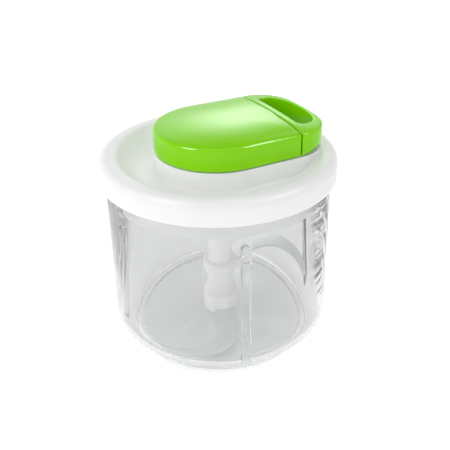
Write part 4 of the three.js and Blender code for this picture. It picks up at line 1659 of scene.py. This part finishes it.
@dataclass
class Housing:
    """The green cover of the cord mechanism, in millimetres."""

    crown: Crown
    wall: float = 2.2
    seam_x: float = 31.9
    seam_round: float = 0.35
    seam_start: float = 0.5
    hollow_drop: float = 5.0
    cord_z: float = 116.9
    eyelet_hole: float = 3.4
    eyelet_flange: float = 4.6
    eyelet_seat: float = 1.05
    seat_reach: float = 3.0

    def build(self) -> None:
        """Makes the housing's shell."""
        shell = self.crown.block("housing_green", 0, self.crown.foot)
        cut_at(shell, self.seam_x, keep_plus=False)
        self.soften_seam(shell)
        hollow = self.crown.block("hollow", self.wall, self.crown.foot - self.hollow_drop)
        cut_at(hollow, self.seam_x - self.wall, keep_plus=False)
        combine(shell, hollow, "DIFFERENCE")
        way = rod(
            "way", Vector((self.seam_x - 2 * self.wall, 0, self.cord_z)),
            Vector((self.seam_x + self.wall, 0, self.cord_z)), self.eyelet_hole,
        )
        combine(shell, way, "DIFFERENCE")
        seat = Vector((self.seam_x - self.eyelet_seat, 0, self.cord_z))
        depth = Vector((self.seat_reach, 0, 0))
        combine(shell, rod("seat", seat, seat + depth, self.eyelet_flange), "DIFFERENCE")
        fitted(smooth(shell, 30), Body.LID, Slot.GREEN, "housing")

    def soften_seam(self, shell: bpy.types.Object) -> None:
        """Rounds the edges of the flat face at the seam.

        Args:
            shell: The housing's object.
        """
        edit(shell)

        def at_seam(edge: bmesh.types.BMEdge) -> bool:
            """Whether an edge bounds the flat face, above its lowest line."""
            on_face = all(abs(v.co.x - self.seam_x * MM) < NEAR / 10 for v in edge.verts)
            return on_face and any(v.co.z > (self.crown.foot + self.seam_start) * MM for v in edge.verts)

        bevel_where(shell, at_seam, self.seam_round, 3)
        close_edit(shell)


@dataclass
class Handle:
    """The green loop handle round its finger hole, in millimetres."""

    crown: Crown
    seam_x: float = 32.8
    seam_round: float = 1.0
    corner_round: float = 0.9
    hole_x: float = 37.2
    hole_depth: float = 15.2
    hole_half: float = 22.8
    hole_fullness: float = 2.3
    hole_corner: float = 3.5
    hole_round: float = 1.0
    wall: float = 2.2
    core_drop: float = 4.6
    nose_lift: float = 3.2
    nose_x: float = 55.2
    middle_x: float = 42.0
    cord_z: float = 116.9
    cord_bore: float = 1.6
    knot_seat: float = 2.6
    lip: float = 0.4
    core_gap: float = 1.2
    core_step: float = 0.02
    core_run: float = 2.0
    bar_reach: float = 3.0
    samples: int = 240
    halvings: int = 40
    edge_steps: int = 9
    foot_ring: int = 3
    top_steps: int = 6
    hole_steps: int = 6

    def reach(self, turn: float, inside: Callable[[float, float], bool]) -> float:
        """How far a form reaches from the finger hole's middle in one direction.

        Args:
            turn: The direction in radians.
            inside: Says whether a point lies in the form.

        Returns:
            The distance.
        """
        low, high = 0.0, 2 * self.hole_half
        for _ in range(self.halvings):
            reach = (low + high) / 2
            x, y = self.middle_x + reach * math.cos(turn), reach * math.sin(turn)
            low, high = (reach, high) if inside(x, y) else (low, reach)
        return low

    def in_hole(self, x: float, y: float) -> bool:
        """Whether a point lies in the finger hole's outline."""
        centre = self.hole_x + self.hole_corner
        if x > centre:
            share = ((x - centre) / (self.hole_depth - self.hole_corner)) ** self.hole_fullness
            return share + abs(y / self.hole_half) ** self.hole_fullness < 1
        over = max(abs(y) - (self.hole_half - self.hole_corner), 0.0)
        return (centre - x) ** 2 + over**2 < self.hole_corner**2 if over else x > self.hole_x

    def body_inset(self, x: float, y: float) -> float:
        """How far a point lies inside the handle's own outline, with round corners at the seam."""
        side, seam = self.crown.outline.inset_at(x, y), x - self.seam_x
        if side > self.corner_round or seam > self.corner_round:
            return min(side, seam)
        over = math.hypot(self.corner_round - side, self.corner_round - seam)
        return self.corner_round - over

    def drop(self, distance: float, radius: float) -> float:
        """How far a rounded edge lies below the surface, at a distance from the edge."""
        if distance >= radius:
            return 0.0
        return radius - math.sqrt(radius**2 - (radius - max(distance, 0.0)) ** 2)

    def foot_at(self, x: float) -> float:
        """The height of the handle's underside, which rises towards the nose."""
        share = min(1.0, max(0.0, (x - self.seam_x) / (self.nose_x - self.seam_x)))
        return self.crown.foot + self.nose_lift * (1 - (1 - share) ** 2)

    def surface(self, x: float, y: float) -> float:
        """The height of the handle's top at a place, with its edge at the seam rounded."""
        return self.crown.height(x, y) - self.drop(x - self.seam_x, self.seam_round)

    def rings(self) -> list[Ring]:
        """The rings from the handle's foot over its top and down through the hole.

        Returns:
            The rings, of which the last joins the first.
        """
        turns = [FULL_TURN * i / self.samples for i in range(self.samples)]
        rays = [Vector((math.cos(t), math.sin(t), 0)) for t in turns]
        middle = Vector((self.middle_x, 0, 0))
        insets = spread(self.crown.edge_round, self.edge_steps)

        def loop(inside: Callable[[float, float], bool]) -> Ring:
            """The outline of a form round the finger hole's middle."""
            return [middle + ray * self.reach(turn, inside) for turn, ray in zip(turns, rays)]

        outer = {e: loop(lambda x, y: self.body_inset(x, y) > e) for e in (*insets, self.wall)}
        hole = loop(self.in_hole)
        normals = [
            (hole[(i + 1) % len(hole)] - hole[i - 1]).cross(Vector((0, 0, 1))).normalized()
            for i in range(len(hole))
        ]

        def lifted(points: Ring, height: Callable[[Vector], float]) -> Ring:
            """The points at the heights that a function gives."""
            return [Vector((p.x, p.y, height(p))) for p in points]

        def widened(by: float) -> Ring:
            """The finger hole's outline, made wider all round."""
            return [p + n * by for p, n in zip(hole, normals)]

        rings = [
            lifted(outer[insets[self.foot_ring]], lambda p: self.foot_at(p.x)),
            lifted(outer[0.0], lambda p: self.foot_at(p.x) + self.lip),
        ]
        rings += [lifted(outer[e], lambda p: self.surface(p.x, p.y)) for e in insets]
        inner = widened(self.hole_round)
        last = outer[insets[-1]]
        for i in range(1, self.top_steps):
            mixed = [a.lerp(b, i / self.top_steps) for a, b in zip(last, inner)]
            rings.append(lifted(mixed, lambda p: self.surface(p.x, p.y)))
        for i in range(self.hole_steps + 1):
            out = self.hole_round * (1 - math.sin(i / self.hole_steps * math.pi / 2))
            fall = self.drop(out, self.hole_round)
            rings.append(lifted(widened(out), lambda p: self.surface(p.x, p.y) - fall))
        rings.append(lifted(hole, lambda p: self.crown.foot + self.lip))
        rings.append(lifted(widened(self.lip), lambda p: self.crown.foot))
        rings += self.core(outer[self.wall], widened(self.wall))
        return rings

    def core(self, outside: Ring, inside: Ring) -> list[Ring]:
        """The rings of the hollow in the handle's underside.

        Args:
            outside: The hollow's edge towards the handle's outline.
            inside: The hollow's edge towards the finger hole.

        Returns:
            The rings from the finger hole's side outwards.
        """
        rings: list[Ring] = [[], [], [], []]
        foot = self.crown.foot
        roof = self.crown.top - self.core_drop - foot
        for far, near in zip(outside, inside):
            groove_shade = (far - near).length
            middle = (far + near) / 2
            tight = groove_shade < self.core_gap or (far - near).dot(far - Vector((self.middle_x, 0, 0))) < 0
            a, b = (middle, middle) if tight else (near, far)
            top = foot if tight else foot + min(1.0, (groove_shade - self.core_gap) / self.core_run) * roof
            nudge = (far - near).normalized() * self.core_step
            heights = (foot, top, top, foot if tight else self.foot_at((b + nudge).x))
            for ring, point, height in zip(rings, (a - nudge, a, b, b + nudge), heights):
                ring.append(Vector((point.x, point.y, height)))
        return rings

    def build(self) -> None:
        """Makes the handle and cuts the cord's way through its bar."""
        handle = lofted("handle_green", self.rings(), closed=True)
        places = (self.seam_x - self.bar_reach, self.hole_x - self.bar_reach, self.hole_x + self.bar_reach)
        start, seat, end = (Vector((x, 0, self.cord_z)) for x in places)
        combine(handle, rod("way", start, end, self.cord_bore, 32), "DIFFERENCE")
        combine(handle, rod("seat", seat, end, self.knot_seat, 40), "DIFFERENCE")
        fitted(smooth(handle, 30), Body.HANDLE, Slot.GREEN, "handle")


@dataclass
class PullCord:
    """The braided cord on its drum and in its steel eyelet, with the knot in the handle, in millimetres."""

    radius: float = 0.95
    exit_z: float = 116.9
    drum_foot: float = 114.3
    drum_top: float = 119.5
    inner_turn: float = 14.5
    outer_turn: float = 16.4
    turn_height: float = 0.8
    flange_gap: float = 0.2
    turns: int = 4
    turn_steps: int = 44
    step_up: float = 0.2
    bend_x: float = 28.2
    bend_radius: float = 4.9
    bend_steps: int = 12
    lead_steps: int = 6
    free_start: float = 29.7
    free_end: float = 34.5
    end_x: float = 36.3
    pull: float = 300.0
    free_steps: int = 60
    knot_x: float = 36.0
    knot_size: float = 0.43
    knot_depth: float = 1.5
    knot_strand: float = 0.72
    tail_strand: float = 0.85
    tail_way: tuple[float, float, float] = (0.3, 0.03, -0.02)
    tail_step: float = 0.15
    tail_count: int = 8
    knot_steps: int = 110
    eyelet_bore: float = 1.6
    eyelet_radius: float = 3.3
    eyelet_flange: float = 4.5
    eyelet_back: float = 29.8
    eyelet_front: float = 31.7
    flange_depth: float = 0.8

    def leaving(self) -> tuple[float, Vector]:
        """Where the cord leaves the outer layer: the turn in radians and the place."""
        turn = -math.acos(self.outer_turn / self.bend_x)
        return turn, Vector((self.outer_turn * math.cos(turn), self.outer_turn * math.sin(turn), self.low_z()))

    def low_z(self) -> float:
        """The height of the lowest turn's middle."""
        return self.drum_foot + self.turn_height + self.flange_gap

    def winding(self) -> bpy.types.Object:
        """The four turns on the drum: two up and, over them, two down.

        Returns:
            The winding's object.
        """
        per_layer = self.turns / 2
        low, high = self.low_z(), self.drum_top - self.turn_height - self.flange_gap
        last, _ = self.leaving()
        path, guides, lengths, far = [], [], [], 0.0
        for i in range(self.turns * self.turn_steps + 1):
            done = i / self.turn_steps
            climb = 1 - abs(done / per_layer - 1)
            over = eased((done - per_layer + self.step_up / 2) / self.step_up)
            radius = self.inner_turn + (self.outer_turn - self.inner_turn) * over
            turn = last - FULL_TURN * (self.turns - done)
            out = Vector((math.cos(turn), math.sin(turn), 0))
            path.append(out * radius + Vector((0, 0, low + (high - low) * climb)))
            guides.append(out)
            far += (path[-1] - path[-2]).length / (2 * self.radius) if i else 0.0
            lengths.append(far)
        return tube("cord_turns", path, guides, (self.radius, self.turn_height), lengths)

    def run(self) -> bpy.types.Object:
        """The cord from the drum through the eyelet to the knot, with its rings spread for the full pull.

        Returns:
            The cord's object.
        """
        _, start = self.leaving()
        corners = [tuple(start.xy), (self.bend_x, 0, self.bend_radius), (self.end_x, 0)]
        plan = rounded(corners, self.bend_steps, closed=False)
        places = [start.xy.lerp(Vector(plan[1]), i / self.lead_steps) for i in range(self.lead_steps)]
        places += [Vector(point) for point in plan[1:-1]]
        reach = self.free_end - self.free_start
        for i in range(self.free_steps + 1):
            share = 0.5 - math.sin(math.asin(1 - 2 * i / self.free_steps) / 3)
            places.append(Vector((self.free_start + share * reach, 0)))
        places.append(Vector((self.end_x, 0)))
        rise, run = self.exit_z - start.z, plan[1][0] - start.x
        path = [Vector((*place, start.z + rise * min(1.0, (place.x - start.x) / run))) for place in places]
        lengths, far = [0.0], 0.0
        for before, after in zip(path, path[1:]):
            far += (after - before).length + self.drawn(after.x) - self.drawn(before.x)
            lengths.append(far / (2 * self.radius))
        return tube("cord_run", path, [Vector((0, 0, 1))] * len(path), (self.radius, self.radius), lengths)

    def drawn(self, x: float) -> float:
        """How far the full pull moves a point of the run."""
        return self.pull * eased((x - self.free_start) / (self.free_end - self.free_start))

    def knot(self) -> bpy.types.Object:
        """The tight knot in its seat, with the cord's short tail.

        Returns:
            The knot's object.
        """
        middle = Vector((self.knot_x, 0, self.exit_z))
        guides = []
        for i in range(self.knot_steps):
            t = FULL_TURN * i / self.knot_steps
            across, up = math.sin(t) + 2 * math.sin(2 * t), math.cos(t) - 2 * math.cos(2 * t)
            guides.append(Vector((-math.sin(3 * t) * self.knot_depth, across, up)) * self.knot_size)
        path = [middle + guide for guide in guides]
        step = (path[1] - path[0]).length / (2 * self.radius)
        size = (self.knot_strand, self.knot_strand)
        loop = tube("cord_knot_loop", path, guides, size, [i * step for i in range(len(path))], closed=True)
        out, aside, up = self.tail_way
        count = range(self.tail_count)
        ends = [middle + Vector((out * i, aside * i * i, up * i * i)) for i in count]
        tops = [Vector((0, 0, 1))] * len(ends)
        size = (self.tail_strand, self.tail_strand)
        tail = tube("cord_knot_tail", ends, tops, size, [self.tail_step * i for i in count])
        return joined("cord_knot_tied", loop, tail)

    def eyelet(self) -> bpy.types.Object:
        """The steel eyelet with a flared mouth.

        Returns:
            The eyelet's object.
        """
        neck = self.eyelet_front - self.flange_depth
        piece = spun("cord_eyelet_flared", rounded([
            (self.eyelet_bore, self.eyelet_back, 0.5), (self.eyelet_radius, self.eyelet_back, 0.3),
            (self.eyelet_radius, neck, 0.15), (self.eyelet_flange, neck, 0.2),
            (self.eyelet_flange, self.eyelet_front, 0.35), (self.eyelet_bore, self.eyelet_front, 0.75),
        ]), steps=64)
        piece.rotation_euler = (0, math.pi / 2, 0)
        piece.location = (0, 0, self.exit_z * MM)
        settle(piece)
        return piece

    def build(self) -> None:
        """Makes the cord's pieces and leaves the run on no body, with its place baked into its mesh."""
        fitted(smooth(self.eyelet(), 40), Body.LID, Slot.STEEL, "cord_eyelet")
        fitted(smooth(self.winding(), 50), Body.SPOOL, Slot.CORD, "cord_winding")
        fitted(smooth(self.knot(), 50), Body.HANDLE, Slot.CORD, "cord_knot")
        run = dressed(smooth(self.run(), 50), Slot.CORD, "pull_cord")
        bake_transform(run)


@dataclass
class Screws:
    """The round-headed screws below the lid, in millimetres."""

    head_radius: float = 3.0
    head_height: float = 1.4
    shank_radius: float = 1.3
    core_radius: float = 1.05
    thread_start: float = 1.9
    thread_pitch: float = 0.8
    thread_root: tuple[float, float] = (0.35, 0.65)
    recess_half: float = 0.36
    recess_arm: float = 1.55
    recess_levels: tuple[tuple[float, float], ...] = ((-0.5, 1.15), (0.0, 1.0), (0.85, 0.62))

    def screw(self, name: str, length: float) -> bpy.types.Object:
        """One screw that stands on its head at the origin.

        Args:
            name: The new object's name.
            length: Its whole length.

        Returns:
            The screw's object.
        """
        profile = rounded([
            (0, 0), (self.head_radius, 0, 0.55), (self.head_radius, self.head_height, 0.2),
            (self.shank_radius, self.head_height, 0.1), (self.shank_radius, self.thread_start),
        ], closed=False)
        height = self.thread_start
        while height + self.thread_pitch < length - self.shank_radius:
            profile += [(self.core_radius, height + share * self.thread_pitch) for share in self.thread_root]
            height += self.thread_pitch
            profile.append((self.shank_radius, height))
        screw = spun(name, [*profile, (0, length)], steps=40, closed=False)
        return combine(screw, self.recess(), "DIFFERENCE")

    def recess(self) -> bpy.types.Object:
        """The cross recess as a cutter that narrows upwards."""
        half, arm = self.recess_half, self.recess_arm
        quarter = [(arm, -half), (arm, half), (half, half)]
        cross = []
        for i in range(4):
            turn = Matrix.Rotation(i * math.pi / 2, 2)
            cross += [turn @ Vector(point) for point in quarter]
        rings = [[Vector((*(point * share), z)) for point in cross] for z, share in self.recess_levels]
        return lofted("recess", rings)

    def build(self) -> None:
        """Makes one screw of each length and places its copies."""
        for kind in ("inner_lid_screw", "housing_screw"):
            model = None
            for name in sorted(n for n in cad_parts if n.startswith(kind)):
                low, high = (Vector(corner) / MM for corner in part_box(name))
                if model is None:
                    model = self.screw(kind, high.z - low.z)
                place = Vector(((low.x + high.x) / 2, (low.y + high.y) / 2, low.z))
                copy = copied(model, name + "_threaded", place)
                fitted(smooth(copy, 35), Body.LID, Slot.STEEL, name)
            bpy.data.objects.remove(model)


class Works:
    """The pieces of the mechanism that keep their CAD shape."""

    slots: dict[str, Slot] = {
        "drive_bush": Slot.GREY, "axle": Slot.STEEL, "spring_arbor": Slot.GREY, "mainspring": Slot.STEEL,
        "spool": Slot.GREY, "spring_plate": Slot.GREY, "drive_coupler": Slot.GREY,
        "pawl_1": Slot.GREY, "pawl_2": Slot.GREY, "pawl_pin_1": Slot.STEEL, "pawl_pin_2": Slot.STEEL,
    }

    def build(self) -> None:
        """Gives each kept node its finish."""
        for name, slot in self.slots.items():
            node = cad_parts[name]
            node.data.materials.clear()
            node.data.materials.append(FINISHES[slot].material())


def main() -> None:
    """Builds the scene in order."""
    logging.basicConfig(level=logging.INFO, format="%(name)s: %(message)s")
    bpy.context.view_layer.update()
    Camera().build()
    Studio().build()
    outline = Outline()
    crown = Crown(outline)
    parts = (
        Bowl(), BladeColumn(), Lid(outline), Housing(crown), Handle(crown), PullCord(), Screws(), Works(),
    )
    for part in parts:
        part.build()


if __name__ == "__main__":
    main()
